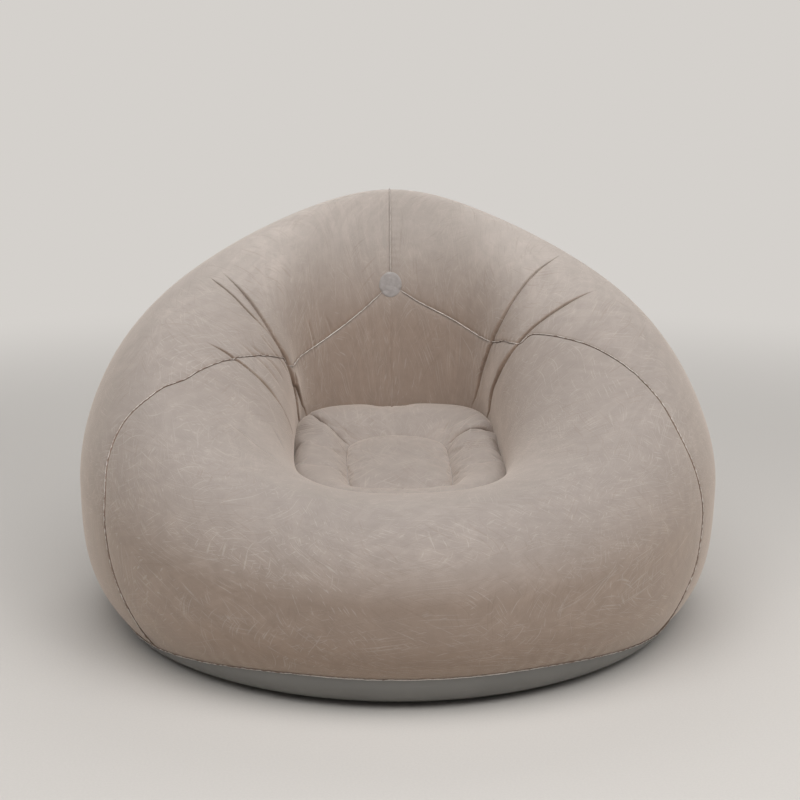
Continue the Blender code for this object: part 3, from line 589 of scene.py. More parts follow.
    def displaced(self, turn: Values, climb: Values) -> Array:
        """Points of the finished outer skin."""
        turn, climb = np.asarray(turn, float), np.asarray(climb, float)
        points, normals = self.form.point(turn, climb), self.form.normal(turn, climb)
        swell = swells(points, self.swell_length)
        edges = eased(climb * 2.5) * eased((4 - climb) * 2)
        height = self.seam_offset(points, normals, climb) + self.base_offset(turn, climb, points)
        height = height + self.swell_height * swell * edges + self.dent_offset(points, normals)
        offset = height[:, None] * normals
        for crease, line in zip(self.CREASES, self.crease_lines):
            offset = offset + self.crease_offset(crease, line, turn, points, normals)
        moved = points + offset
        stand = (moved - self.valve_point) @ self.valve_axis
        away = np.linalg.norm(moved - self.valve_point - stand[:, None] * self.valve_axis, axis=1)
        flat = eased((self.pad_reach - away) / (self.pad_reach - self.pad_radius))
        flat = flat * (np.abs(stand) < self.pad_reach)
        return moved - (stand * flat)[:, None] * self.valve_axis

    def beside(self, even: Array, distances: Array) -> Array:
        """Rows of places beside a line over the skin."""
        turn, climb = even[:, 0], even[:, 1]
        points = self.form.point(turn, climb)
        along = np.gradient(points, axis=0)
        across = unit(np.cross(self.form.normal(turn, climb), along))
        rows = []
        for distance in distances:
            rows.append(np.stack(self.form.shifted(turn, climb, distance * across), -1))
        return np.concatenate(rows)

    def laid_out(self) -> tuple[Array, list[tuple[int, int]]]:
        """Places of every vertex-to-be of the skin, and the edges that the mesh has to keep."""
        rows: list[Array] = []
        edges: list[tuple[int, int]] = []
        count = 0

        def keep(line: Array) -> None:
            """Keep a line of places, and the edges along it."""
            nonlocal count
            rows.append(line)
            edges.extend((count + k, count + k + 1) for k in range(len(line) - 1))
            count += len(line)

        for path in self.ARM_SEAMS.values():
            keep(path.even(self.form, self.line_spacing))
        for crease in self.CREASES:
            even = crease.path.even(self.form, self.crease_spacing)
            keep(even)
            lip = -copysign(1, even[0, 0])
            for distance in [*self.nose_rows * lip, *-self.edge_rows * lip]:
                keep(self.beside(even, [distance]))
        below = SkinPath(((180, self.centre_seam.places[-1][1]), (180, 3), (180, 4)))
        for sign in (1, -1):
            for path in (self.centre_seam, below):
                line = path.even(self.form, self.line_spacing)
                line[:, 0] = sign * pi
                keep(line)
        for climb, spacing in ((0, 4 * MM), (4, 5 * MM)):
            ring = SkinPath(tuple((turn, climb) for turn in range(-180, 181, 15)))
            keep(ring.even(self.form, spacing))
        keep(self.valve_ring(self.hole_radius, self.hole_sides))
        kept = np.concatenate(rows)
        loose = []
        for path in self.seams.values():
            even = path.even(self.form, self.line_spacing)
            sides = [self.beside(even, self.seam_rows), self.beside(even, -self.seam_rows)]
            loose += sides
            if path is self.centre_seam:
                loose += [side * (-1, 1) for side in sides]
        for crease in self.CREASES:
            even = crease.path.even(self.form, self.crease_spacing)
            lip = -copysign(1, even[0, 0])
            loose.append(self.beside(even, self.lip_rows * lip))
            loose.append(self.beside(even, -self.groove_rows * lip))
        for dent in self.DENTS:
            even = dent.path.even(self.form, self.line_spacing)
            rows = self.beside(even, np.concatenate([self.dent_rows, -self.dent_rows[1:]]))
            loose += [rows, rows - (FULL_TURN, 0)] if dent.path.places[0][0] == 180 else [rows]
        ring = np.stack([np.linspace(-pi, pi, self.foot_points), np.zeros(self.foot_points)], -1)[1:-1]
        for rise in self.foot_rows:
            climbs = rise / np.linalg.norm(self.form.slopes(ring[:, 0], ring[:, 1])[1], axis=1)
            loose.append(np.stack([ring[:, 0], climbs], -1))
        lined = np.concatenate(loose)
        rows_over = []
        climb, row = 0.0, 0
        while climb < self.last_climb:
            reach = np.linalg.norm(self.form.slopes(np.linspace(0, pi, 9), climb)[1], axis=1)
            climb += self.row_spacing / reach.mean()
            around = self.form.point(np.linspace(0, pi, 60), climb)
            length = 2 * np.linalg.norm(np.diff(around, axis=0), axis=1).sum()
            number = round(length / self.row_spacing)
            turns = -pi + FULL_TURN * (np.arange(number) + row % 2 / 2 + 0.25) / number
            rows_over.append(np.stack([turns, np.full(number, climb)], -1))
            row += 1
        filled = np.concatenate(rows_over)
        groups = [(lined, 0.55 * self.line_spacing), (filled, 0.75 * self.row_spacing)]
        return self.thinned(kept, groups), edges

    def valve_ring(self, radius: float, sides: int) -> Array:
        """Places of a closed circle about the valve."""
        turn, climb = self.VALVE_PLACE
        slopes = self.form.slopes(turn, climb)
        angle = np.linspace(0, FULL_TURN, sides + 1)
        side = unit(np.cross((0, 0, 1), self.valve_axis))
        rise = np.cross(self.valve_axis, side)
        offset = radius * (np.cos(angle)[:, None] * side + np.sin(angle)[:, None] * rise)
        places = np.full((sides + 1, 2), (turn, climb))
        for _ in range(3):
            gap = self.valve_point + offset - self.form.point(places[:, 0], places[:, 1])
            gap = gap - (gap @ self.valve_axis)[:, None] * self.valve_axis
            places = places + np.stack([gap @ slopes[k] / (slopes[k] @ slopes[k]) for k in (0, 1)], -1)
        return places

    def thinned(self, kept: Array, groups: list[tuple[Array, float]]) -> Array:
        """Add groups of places that lie on the skin and clear of what is there already.

        Args:
            kept: Places that stay whatever comes.
            groups: Places to add and how far clear they have to be.

        Returns:
            All the places, the kept ones first.
        """
        every = kept
        for group, clear in groups:
            inside = (np.abs(group[:, 0]) < pi - 1e-4) & (group[:, 1] > 1e-3) & (group[:, 1] < 3.995)
            group = group[inside]
            there = self.form.point(every[:, 0], every[:, 1])
            tree = kdtree.KDTree(len(there))
            for number, point in enumerate(there):
                tree.insert(point, number)
            tree.balance()
            points = self.form.point(group[:, 0], group[:, 1])
            narrow = clear if len(every) > len(kept) else 0.8 * MM
            free = [tree.find(point)[2] > narrow for point in points]
            every = np.concatenate([every, group[np.array(free)]])
        return every

    def build(self, finish: Material) -> None:
        """Make the front panel and the two back panels.

        Args:
            finish: The flocked finish.
        """
        places, edges = self.laid_out()
        flat, faces, area = triangulated(self.form.board(*places.T), edges, False, 1e-9)
        faces = faces[area > 1e-11]
        turn, climb = self.form.unboard(flat)
        points = self.displaced(turn, climb)
        away = np.linalg.norm(points - self.valve_point, axis=1)
        faces = faces[~np.all(away[faces] < self.hole_radius + 0.2 * MM, axis=1)]
        middle_turn, middle_climb = self.form.unboard(flat[faces].mean(1))
        backward = np.zeros(len(faces), bool)
        for path in self.ARM_SEAMS.values():
            seam = path.fine()
            side = np.sign(seam[0, 0])
            below = middle_climb < np.interp(side * middle_turn, side * seam[:, 0], seam[:, 1], left=-1)
            backward |= below & (side * middle_turn > 0)
        log.info("skin laid out with %d points and %d faces", len(points), len(faces))
        for name, chosen in (("front_panel", ~backward), ("back_panel_left", backward & (middle_turn < 0)),
                             ("back_panel_right", backward & (middle_turn > 0))):
            self.panel(name, points, flat, faces[chosen], finish)

    def panel(self, name: str, points: Array, flat: Array, faces: Array,
              finish: Material) -> None:
        """Make one panel, closed where it meets itself at the back.

        Args:
            name: The node that it stands for.
            points: Points of the whole skin.
            flat: The same points on the board.
            faces: The panel's triangles.
            finish: The flocked finish.
        """
        border = pi * self.form.board_turn - 1e-6
        root = np.arange(len(points))
        at_end = {round(flat[index, 1], 7): index for index in np.flatnonzero(flat[:, 0] > border)}
        for index in np.flatnonzero(flat[:, 0] < -border):
            root[index] = at_end.get(round(flat[index, 1], 7), index) if name == "front_panel" else index
        kept, corners = np.unique(root[faces], return_inverse=True)
        mesh = plain_mesh(name + "_skin", points[kept], corners.reshape(-1, 3).tolist())
        lay_out(mesh, flat[faces])
        made = piece(name + "_skin", mesh, finish, node=name)
        with_wall(made, self.wall)

    def seam_trace(self, path: SkinPath) -> "Trace":
        """A weld on the finished skin, with its outward directions and how high its fin stands."""
        even = path.even(self.form, self.line_spacing)
        turn, climb = even[:, 0], even[:, 1]
        points = self.displaced(turn, climb)
        away = np.linalg.norm(points - points[-1], axis=1)
        strength = self.fin_foot + (1 - self.fin_foot) * eased((away - self.patch_low) / self.patch_clear)
        free = away > self.patch_edge
        outward = self.form.normal(turn, climb)
        outward[climb == 0] = sideways(turn[climb == 0])
        return Trace(points[free], outward[free], strength[free])


def linked(name: str, data: bpy.types.ID, finish: Material | None = None) -> Object:
    """Link a new object.

    Args:
        name: Its name.
        data: Its mesh, light or camera.
        finish: The material of a mesh that shows, which is shaded smooth.

    Returns:
        The object.
    """
    if finish:
        data.shade_smooth()
        data.materials.clear()
        data.materials.append(finish)
        data.name = name
    made = bpy.data.objects.new(name, data)
    bpy.context.scene.collection.objects.link(made)
    return made


def piece(name: str, mesh: Mesh, finish: Material, body: str = "body",
          node: str | None = None) -> Object:
    """Link a mesh as a piece of the chair.

    Args:
        name: The piece's name.
        mesh: Its mesh, in the chair's own frame.
        finish: Its material.
        body: The body it moves with.
        node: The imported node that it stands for, if there is one.

    Returns:
        The piece.
    """
    made = linked(name, mesh, finish)
    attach(made, body)
    if node:
        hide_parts(node)
    log.info("%s: %d faces, on %s", name, len(mesh.polygons), body)
    return made


def plain_mesh(name: str, points: Array, faces: list, edges: list | tuple = ()) -> Mesh:
    """A mesh of points with faces or edges."""
    mesh = bpy.data.meshes.new(name)
    mesh.from_pydata(np.asarray(points).tolist(), edges, faces)
    return mesh


def lay_out(mesh: Mesh, flat: Array) -> None:
    """Give each corner of a mesh its place on the sheet's own map."""
    mesh.uv_layers.new(name=SHEET_MAP).data.foreach_set("uv", flat.ravel())


@contextmanager
def edited(mesh: Mesh) -> Iterator[bmesh.types.BMesh]:
    """Lend a mesh for editing, and write the changes back to it."""
    work = bmesh.new()
    work.from_mesh(mesh)
    yield work
    work.to_mesh(mesh)
    work.free()


def with_wall(made: Object, thickness: float, offset: float = -1) -> None:
    """Give an open sheet its thickness, with crisp edges.

    Args:
        made: The sheet.
        thickness: How thick it gets.
        offset: -1 to grow inwards, 0 to grow to both sides.
    """
    with edited(made.data) as work:
        for edge in work.edges:
            edge.smooth = not edge.is_boundary
    wall = made.modifiers.new("wall", "SOLIDIFY")
    wall.thickness = thickness
    wall.offset = offset


def grid_faces(rows: int, columns: int) -> Array:
    """Quads over a grid of points whose rows run round.

    Args:
        rows: Number of rows.
        columns: Number of points in a row.

    Returns:
        Four corner numbers for each quad.
    """
    row, column = np.meshgrid(np.arange(rows - 1), np.arange(columns), indexing="ij")
    ahead = (column + 1) % columns
    low, high = row * columns, (row + 1) * columns
    corners = (low + column, low + ahead, high + ahead, high + column)
    return np.stack([corner.ravel() for corner in corners], -1)


def triangulated(spots: Array, edges: list[tuple[int, int]], inside: bool,
                 merge: float) -> tuple[Array, Array, Array]:
    """Lay triangles between points on a plane.

    Args:
        spots: The points.
        edges: Edges that the triangles have to keep.
        inside: Whether to keep only what the edges enclose.
        merge: Distance under which points become one.

    Returns:
        The points, the triangles, all the same way up, and twice the area of each.
    """
    board = delaunay_2d_cdt([Vector(spot) for spot in spots], edges, [], int(inside), merge)
    flat = np.array([tuple(point) for point in board[0]])
    faces = np.array([face for face in board[2] if len(face) == 3])
    first, second = (flat[faces[:, k]] - flat[faces[:, 0]] for k in (1, 2))
    area = first[:, 0] * second[:, 1] - first[:, 1] * second[:, 0]
    faces[area < 0] = faces[area < 0][:, ::-1]
    return flat, faces, np.abs(area)


def puckers(run: Array, length: float, seed: int) -> Array:
    """Uneven waves along a run, from -1 to 1."""
    phase = FULL_TURN * run / length + 2.5 * wander(run, 3 * length, seed)
    return (0.55 + 0.45 * wander(run, 4 * length, seed + 100)) * np.cos(phase)


@dataclass(frozen=True)
class Trace:
    """Points of a weld, the outward direction at each, and how high the fin stands, from 0 to 1."""

    points: Array
    outward: Array
    strength: Array

    def mesh(self, name: str, closed: bool = False) -> Mesh:
        """The weld as a line of edges that carries its directions."""
        count = len(self.points)
        mesh = plain_mesh(name, self.points, [], [(k, (k + 1) % count) for k in range(count - 1 + closed)])
        outward = mesh.attributes.new("outward", "FLOAT_VECTOR", "POINT")
        outward.data.foreach_set("vector", self.outward.ravel())
        mesh.attributes.new("strength", "FLOAT", "POINT").data.foreach_set("value", self.strength)
        return mesh


class Graph:
    """Adds linked nodes to a node tree."""

    def __init__(self, tree: NodeTree) -> None:
        """Keep the tree."""
        self.tree = tree

    def fill(self, node: Node, inputs: dict) -> None:
        """Set a node's inputs, each to a value or to another node's output."""
        for name, value in inputs.items():
            if isinstance(value, NodeSocket):
                self.tree.links.new(value, node.inputs[name])
            else:
                node.inputs[name].default_value = value

    def node(self, kind: str, inputs: dict | None = None, output: int | str = 0,
             **settings: str | int) -> NodeSocket:
        """Add a node.

        Args:
            kind: The node's type.
            inputs: What goes into its sockets: a value, or another node's output.
            output: Which of its outputs to return.
            **settings: The node's own settings.

        Returns:
            One output of the node.
        """
        made = self.tree.nodes.new(kind)
        for name, value in settings.items():
            setattr(made, name, value)
        self.fill(made, inputs or {})
        return made.outputs[output]

    def math(self, operation: str, *values: Wire) -> NodeSocket:
        """A sum of one to three values."""
        return self.node("ShaderNodeMath", dict(enumerate(values)), operation=operation)

    def times(self, first: Wire, second: Wire) -> NodeSocket:
        """Product of two values."""
        return self.math("MULTIPLY", first, second)

    def vector(self, operation: str, *values: Wire) -> NodeSocket:
        """A sum of vectors."""
        return self.node("ShaderNodeVectorMath", dict(enumerate(values)), operation=operation)

    def ramp(self, value: Wire, low: float, high: float, bottom: float = 0.0, top: float = 1.0) -> NodeSocket:
        """Smooth step of a value between two levels."""
        inputs = {"Value": value, "From Min": low, "From Max": high, "To Min": bottom, "To Max": top}
        return self.node("ShaderNodeMapRange", inputs, interpolation_type="SMOOTHSTEP")

    def varied(self, noise: NodeSocket, spread: float, middle: float = 1.0) -> NodeSocket:
        """A level that a noise moves by a spread to either side of its middle."""
        return self.ramp(noise, 0.3, 0.7, middle - spread, middle + spread)

    def noise(self, vector: Wire, scale: Wire, detail: float = 2.0, roughness: float = 0.5,
              **settings: str | int) -> NodeSocket:
        """Smooth noise, about 0.5 in the middle."""
        inputs = {"Vector": vector, "Scale": scale, "Detail": detail, "Roughness": roughness}
        return self.node("ShaderNodeTexNoise", inputs, **settings)

    def sway(self, place: NodeSocket, length: NodeSocket) -> NodeSocket:
        """Noise about 0 that changes over a length."""
        return self.math("SUBTRACT", self.noise(place, self.math("DIVIDE", 1.0, length), 1.0), 0.5)

    def mix(self, share: Wire, first: Wire, second: Wire, blend: str = "MIX") -> NodeSocket:
        """Blend of two colours."""
        return self.node("ShaderNodeMix", {0: share, 6: first, 7: second}, output=2, data_type="RGBA",
                         blend_type=blend)

    def spot(self, x: Wire = 0.0, y: Wire = 0.0, z: Wire = 0.0) -> NodeSocket:
        """A vector of three parts."""
        return self.node("ShaderNodeCombineXYZ", {0: x, 1: y, 2: z})

    def part(self, vector: NodeSocket, axis: str) -> NodeSocket:
        """One part of a vector."""
        return self.node("ShaderNodeSeparateXYZ", {0: vector}, output=axis)

    def moved(self, geometry: NodeSocket, direction: NodeSocket, size: NodeSocket) -> NodeSocket:
        """A geometry whose points are moved along a direction."""
        offset = self.node("ShaderNodeVectorMath", {0: direction, "Scale": size}, operation="SCALE")
        return self.node("GeometryNodeSetPosition", {"Geometry": geometry, "Offset": offset})

    def shown(self, share: Wire, first: NodeSocket, second: NodeSocket, end: str) -> None:
        """Send a mix of two shaders to the tree's last node."""
        mixed = self.node("ShaderNodeMixShader", {"Fac": share, 1: first, 2: second})
        self.fill(self.tree.nodes[end], {"Surface": mixed})


class Surface(Graph):
    """A material's graph, round its shader."""

    def __init__(self, tree: NodeTree) -> None:
        """Keep the tree, its shader and the object's own coordinates."""
        super().__init__(tree)
        self.shader = tree.nodes["Principled BSDF"]
        self.solid = self.node("ShaderNodeTexCoord", output="Object")

    def set(self, **levels: Wire) -> None:
        """Set the shader's inputs, with low lines for the spaces in their names."""
        self.fill(self.shader, {name.replace("_", " "): level for name, level in levels.items()})

    def bump(self, height: NodeSocket, distance: float, strength: float) -> None:
        """Turn a height into a bump of the shader."""
        inputs = {"Height": height, "Distance": distance, "Strength": strength}
        self.set(Normal=self.node("ShaderNodeBump", inputs))

    def tint(self, colour: Wire, level: NodeSocket) -> None:
        """Give the shader a colour that a level makes darker or lighter."""
        self.set(Base_Color=self.mix(1.0, colour, level, "MULTIPLY"))


@dataclass(frozen=True)
class Finish:
    """What every finish has: a name, a colour, a roughness, and how its surface is worked."""

    name: str
    colour: Triple
    roughness: float

    def work(self, graph: Surface) -> None:
        """Add the nodes of the finish's own surface."""

    def material(self) -> Material:
        """Build the material."""
        made = bpy.data.materials.new(self.name)
        made.use_nodes = True
        graph = Surface(made.node_tree)
        graph.set(Base_Color=(*self.colour, 1), Roughness=self.roughness)
        self.work(graph)
        return made


@dataclass(frozen=True)
class Strokes:
    """One layer of brush marks in the flock: direction, size in mm, how few there are, and which they are."""

    degrees: float
    length: float
    breadth: float
    level: float
    seed: int


@dataclass(frozen=True)
class FlockFinish(Finish):
    """Short velvety flock whose nap lies in brushed strokes, with painted sheen on its up-facing and high
    parts and painted shade in the seat tube's folds.
    """

    name: str = "flocked"
    colour: Triple = (0.318, 0.232, 0.177)
    roughness: float = 0.9
    # Painted sheen: a paler, greyer colour for surfaces that face up.
    painted_top_sheen: Triple = (0.345, 0.298, 0.269)
    # Painted light: a paler colour high on the back, ramped in between two heights.
    crown_painted_light: Triple = (0.475, 0.42, 0.382)
    crown_painted_light_span: Pair = (0.42, 0.64)
    pale: Triple = (0.55, 0.49, 0.44)
    deep: Triple = (0.24, 0.175, 0.135)
    # Painted shade: a near-black colour laid into the seat tube's mitre folds.
    fold: Triple = (0.09, 0.06, 0.045)
    fold_shade_share: float = 0.88
    light_share: float = 0.32
    dark_share: float = 0.19
    sheen_tint: Triple = (1.0, 0.89, 0.8)
    light_strokes: tuple[Strokes, ...] = (
        Strokes(18, 70, 2.0, 0.66, 1), Strokes(-33, 52, 1.8, 0.665, 2), Strokes(76, 74, 2.0, 0.66, 3),
        Strokes(128, 46, 1.8, 0.665, 4), Strokes(-62, 34, 2.4, 0.665, 5), Strokes(48, 18, 3.6, 0.67, 6))
    dark_strokes: tuple[Strokes, ...] = (
        Strokes(35, 80, 2.6, 0.63, 7), Strokes(-60, 70, 2.2, 0.63, 8), Strokes(100, 90, 3.0, 0.63, 9))
    brushed: tuple[Strokes, ...] = (
        Strokes(-20, 120, 16, 0.5, 10), Strokes(60, 110, 13, 0.5, 11), Strokes(110, 130, 18, 0.5, 12))

    def layer(self, graph: Graph, sheet: NodeSocket, strokes: Strokes) -> NodeSocket:
        """How strongly one layer's strokes show."""
        place = (0.37 * strokes.seed, 0.61 * strokes.seed, 0)
        turned = graph.node("ShaderNodeMapping", {
            "Vector": sheet, "Location": place, "Rotation": (0, 0, radians(strokes.degrees)),
            "Scale": (strokes.length * MM, strokes.breadth * MM, 1)}, vector_type="TEXTURE")
        streak = graph.noise(turned, 1.0, 1.5, noise_dimensions="2D")
        region = graph.noise(graph.vector("ADD", sheet, place), 6.0, noise_dimensions="2D")
        marked = graph.ramp(streak, strokes.level, strokes.level + 0.07)
        return graph.times(marked, graph.ramp(region, 0.42, 0.6))

    def layered(self, graph: Graph, sheet: NodeSocket, layers: tuple[Strokes, ...]) -> NodeSocket:
        """The strongest of several layers."""
        found = self.layer(graph, sheet, layers[0])
        for strokes in layers[1:]:
            found = graph.math("MAXIMUM", found, self.layer(graph, sheet, strokes))
        return found

    def work(self, graph: Surface) -> None:
        """Add the strokes, laid out on the sheet's own map, the flock's fine grain, painted sheen and light
        that pale the up-facing and high parts, and painted shade in the seat tube's folds.
        """
        place = graph.node("ShaderNodeUVMap", uv_map=SHEET_MAP)
        bend = graph.noise(place, 5.0, 1.0, noise_dimensions="2D", output=1)
        bend = graph.vector("SUBTRACT", bend, (0.5, 0.5, 0.5))
        sheet = graph.vector("MULTIPLY_ADD", bend, (0.09, 0.09, 0), place)
        light = self.layered(graph, sheet, self.light_strokes)
        dark = self.layered(graph, sheet, self.dark_strokes)
        fold = graph.node("ShaderNodeAttribute", output="Fac", attribute_name=PAINTED_FOLD_SHADE_MAP)
        facing = graph.part(graph.node("ShaderNodeTexCoord", output="Normal"), "Z")
        colour = (*self.colour, 1)
        for share, other in (
                # painted sheen: paler where the surface faces up
                (graph.ramp(facing, -0.5, 1.0), self.painted_top_sheen),
                # painted light: paler high on the back
                (graph.ramp(graph.part(graph.solid, "Z"), *self.crown_painted_light_span), self.crown_painted_light),
                (graph.times(light, self.light_share), self.pale),
                (graph.times(dark, self.dark_share), self.deep),
                # painted shade: darker in the seat tube's folds
                (graph.times(fold, self.fold_shade_share), self.fold)):
            colour = graph.mix(share, colour, (*other, 1))
        level = graph.ramp(graph.noise(graph.solid, 5.0, 3.0), 0.25, 0.75, 0.98, 1.02)
        for strokes in self.brushed:
            streaked = graph.math("MULTIPLY_ADD", self.layer(graph, sheet, strokes), 0.045, 0.985)
            level = graph.times(level, streaked)
        grain = graph.noise(graph.solid, 900.0)
        level = graph.times(level, graph.varied(graph.noise(graph.solid, 42.0, 3.0, 0.6), 0.04))
        graph.tint(colour, graph.times(level, graph.varied(grain, 0.035)))
        raised = graph.times(graph.math("SUBTRACT", light, dark), 0.3)
        graph.bump(graph.math("MULTIPLY_ADD", grain, 0.35, raised), 0.35 * MM, 0.6)
        graph.set(Sheen_Weight=0.7, Sheen_Roughness=0.5, Sheen_Tint=(*self.sheen_tint, 1),
                  Specular_IOR_Level=0.15)


@dataclass(frozen=True)
class WeldFinish(Finish):
    """The cut edge of a weld: flock on its flanks and a pale top, partly bare sheet and partly painted
    highlight.
    """

    name: str = "flocked_weld"
    colour: Triple = (0.25, 0.18, 0.14)
    roughness: float = 0.8
    bare_and_highlight: Triple = (0.66, 0.61, 0.56)
    # Painted highlight: the seams near the middle get a paler top than those at the sides.
    highlight_span: Pair = (0.13, 0.2)
    highlight_levels: Pair = (-0.52, -0.74)

    def work(self, graph: Surface) -> None:
        """Pale the fin's top by how far each point stands from the weld's foot, partly bare sheet and partly
        painted highlight, more on the back rest's seams near the middle than at the sides.
        """
        rise = graph.node("ShaderNodeAttribute", output="Fac", attribute_name="edge")
        side = graph.math("ABSOLUTE", graph.part(graph.solid, "X"))
        # painted highlight that grows towards the middle
        painted_highlight = graph.ramp(side, *self.highlight_span, *self.highlight_levels)
        uneven = graph.math("MULTIPLY_ADD", graph.noise(graph.solid, 130.0), 1.25, painted_highlight)
        share = graph.ramp(graph.math("ADD", rise, uneven), 0.6, 0.95)
        grain = graph.noise(graph.solid, 900.0)
        graph.tint(graph.mix(share, (*self.colour, 1), (*self.bare_and_highlight, 1)), graph.varied(grain, 0.08))
        graph.bump(grain, 0.3 * MM, 0.5)
        graph.set(Sheen_Weight=0.2)


@dataclass(frozen=True)
class SheetFinish(Finish):
    """Bare vinyl sheet, smooth, with faint rolling marks and dust."""

    name: str = "smooth"
    colour: Triple = (0.195, 0.19, 0.178)
    roughness: float = 0.42
    scuff: float = 0.06

    def work(self, graph: Surface) -> None:
        """Add the clouds, the rolling marks and the uneven gloss."""
        scratch = graph.noise(graph.vector("MULTIPLY", graph.solid, (18, 18, 260)), 1.0)
        level = graph.varied(graph.noise(graph.solid, 7.0, 4.0), self.scuff)
        graph.tint((*self.colour, 1), graph.times(level, graph.ramp(scratch, 0.62, 0.75, 1.0, 1.06)))
        dust = graph.noise(graph.solid, 60.0, 3.0)
        graph.set(Roughness=graph.ramp(dust, 0.3, 0.7, self.roughness - 0.05, self.roughness + 0.08))
        grain = graph.noise(graph.solid, 1100.0)
        graph.bump(graph.math("MULTIPLY_ADD", grain, 0.4, scratch), 0.08 * MM, 0.4)


@dataclass(frozen=True)
class MouldedFinish(Finish):
    """Soft moulded plastic of the valve, satin with a fine texture."""

    name: str = "moulded"
    colour: Triple = (0.52, 0.52, 0.51)
    roughness: float = 0.38

    def work(self, graph: Surface) -> None:
        """Add the clouds and the fine texture."""
        cloud = graph.noise(graph.solid, 90.0, 3.0)
        graph.tint((*self.colour, 1), graph.varied(cloud, 0.04))
        graph.set(Roughness=graph.varied(cloud, 0.06, self.roughness), Subsurface_Weight=0.08)
        graph.bump(graph.noise(graph.solid, 2200.0), 0.05 * MM, 0.4)


@dataclass(frozen=True)
class ClearFinish(Finish):
    """Clear vinyl gone cloudy over the flock below it."""

    name: str = "clear"
    colour: Triple = (0.395, 0.36, 0.345)
    roughness: float = 0.35
    bright: Triple = (0.45, 0.415, 0.4)

    def work(self, graph: Surface) -> None:
        """Add the clouds and a glossy coat."""
        cloud = graph.ramp(graph.noise(graph.solid, 150.0, 3.0), 0.35, 0.65)
        graph.set(Base_Color=graph.mix(cloud, (*self.colour, 1), (*self.bright, 1)), Transmission_Weight=0.12,
                  Specular_IOR_Level=0.3, Coat_Weight=0.15, Coat_Roughness=0.25)
        graph.bump(graph.noise(graph.solid, 700.0, 3.0), 0.08 * MM, 0.5)


@dataclass(frozen=True)
class StudioFinish(Finish):
    """The plain floor and wall of the studio, even and pale away from the chair."""

    name: str = "studio"
    colour: Triple = (0.62, 0.592, 0.56)
    roughness: float = 0.9
    far: Triple = (0.66, 0.635, 0.605)
    near_reach: float = 0.95
    far_reach: float = 3.4

    def work(self, graph: Surface) -> None:
        """Let the floor glow evenly far from the chair, for the camera and for what mirrors it."""
        graph.tint((*self.colour, 1), graph.varied(graph.noise(graph.solid, 300.0), 0.015))
        graph.set(Specular_IOR_Level=0.1)
        away = graph.node("ShaderNodeVectorMath", {0: graph.solid}, output="Value", operation="LENGTH")
        camera, glossy, through = (graph.node("ShaderNodeLightPath", output=f"Is {kind} Ray")
                                   for kind in ("Camera", "Glossy", "Transmission"))
        seen = graph.math("MAXIMUM", graph.math("MAXIMUM", camera, glossy), through)
        share = graph.times(seen, graph.ramp(away, self.near_reach, self.far_reach))
        glow = graph.node("ShaderNodeEmission", {"Color": (*self.far, 1)})
        graph.shown(share, graph.shader.outputs["BSDF"], glow, "Material Output")


@dataclass
class Finishes:
    """The materials of the chair."""

    flock: Material = field(default_factory=lambda: FlockFinish().material())
    weld: Material = field(default_factory=lambda: WeldFinish().material())
    smooth: Material = field(default_factory=lambda: SheetFinish().material())
    inner: Material = field(default_factory=lambda: SheetFinish(
        "inner", (0.5, 0.5, 0.49), 0.5, 0.03).material())
    moulded: Material = field(default_factory=lambda: MouldedFinish().material())
    clear: Material = field(default_factory=lambda: ClearFinish().material())


class NodeShape:
    """A shape that Geometry Nodes make, with named inputs."""

    def __init__(self, name: str, sizes: dict[str, float], finish: Material) -> None:
        """Start the tree.

        Args:
            name: The tree's name.
            sizes: Its inputs and their values.
            finish: The material that the result gets.
        """
        self.tree = bpy.data.node_groups.new(name, "GeometryNodeTree")
        self.graph = Graph(self.tree)
        self.tree.interface.new_socket("Geometry", in_out="INPUT", socket_type="NodeSocketGeometry")
        self.tree.interface.new_socket("Geometry", in_out="OUTPUT", socket_type="NodeSocketGeometry")
        self.sizes = sizes
        self.finish = finish
        self.names = {size: self.tree.interface.new_socket(
            size, in_out="INPUT", socket_type="NodeSocketFloat").identifier for size in sizes}
        self.source = self.tree.nodes.new("NodeGroupInput")

    def size(self, name: str) -> NodeSocket:
        """One of the inputs."""
        return self.source.outputs[name]

    def finished(self, geometry: NodeSocket) -> None:
        """End the tree with smooth shading, real instances and the material."""
        smooth = self.graph.node("GeometryNodeSetShadeSmooth", {"Geometry": geometry})
        real = self.graph.node("GeometryNodeRealizeInstances", {"Geometry": smooth})
        dressed = self.graph.node("GeometryNodeSetMaterial", {"Geometry": real, "Material": self.finish})
        self.graph.fill(self.tree.nodes.new("NodeGroupOutput"), {0: dressed})

    def made(self, start: Mesh) -> Mesh:
        """Run the tree over a start mesh.

        Args:
            start: The mesh that goes in.

        Returns:
            The result as a plain mesh.
        """
        carrier = linked(self.tree.name + "_carrier", start)
        modifier = carrier.modifiers.new("shape", "NODES")
        modifier.node_group = self.tree
        for name, identifier in self.names.items():
            modifier[identifier] = self.sizes[name]
        depsgraph = bpy.context.evaluated_depsgraph_get()
        result = bpy.data.meshes.new_from_object(
            carrier.evaluated_get(depsgraph), preserve_all_data_layers=True, depsgraph=depsgraph)
        bpy.data.objects.remove(carrier)
        return result


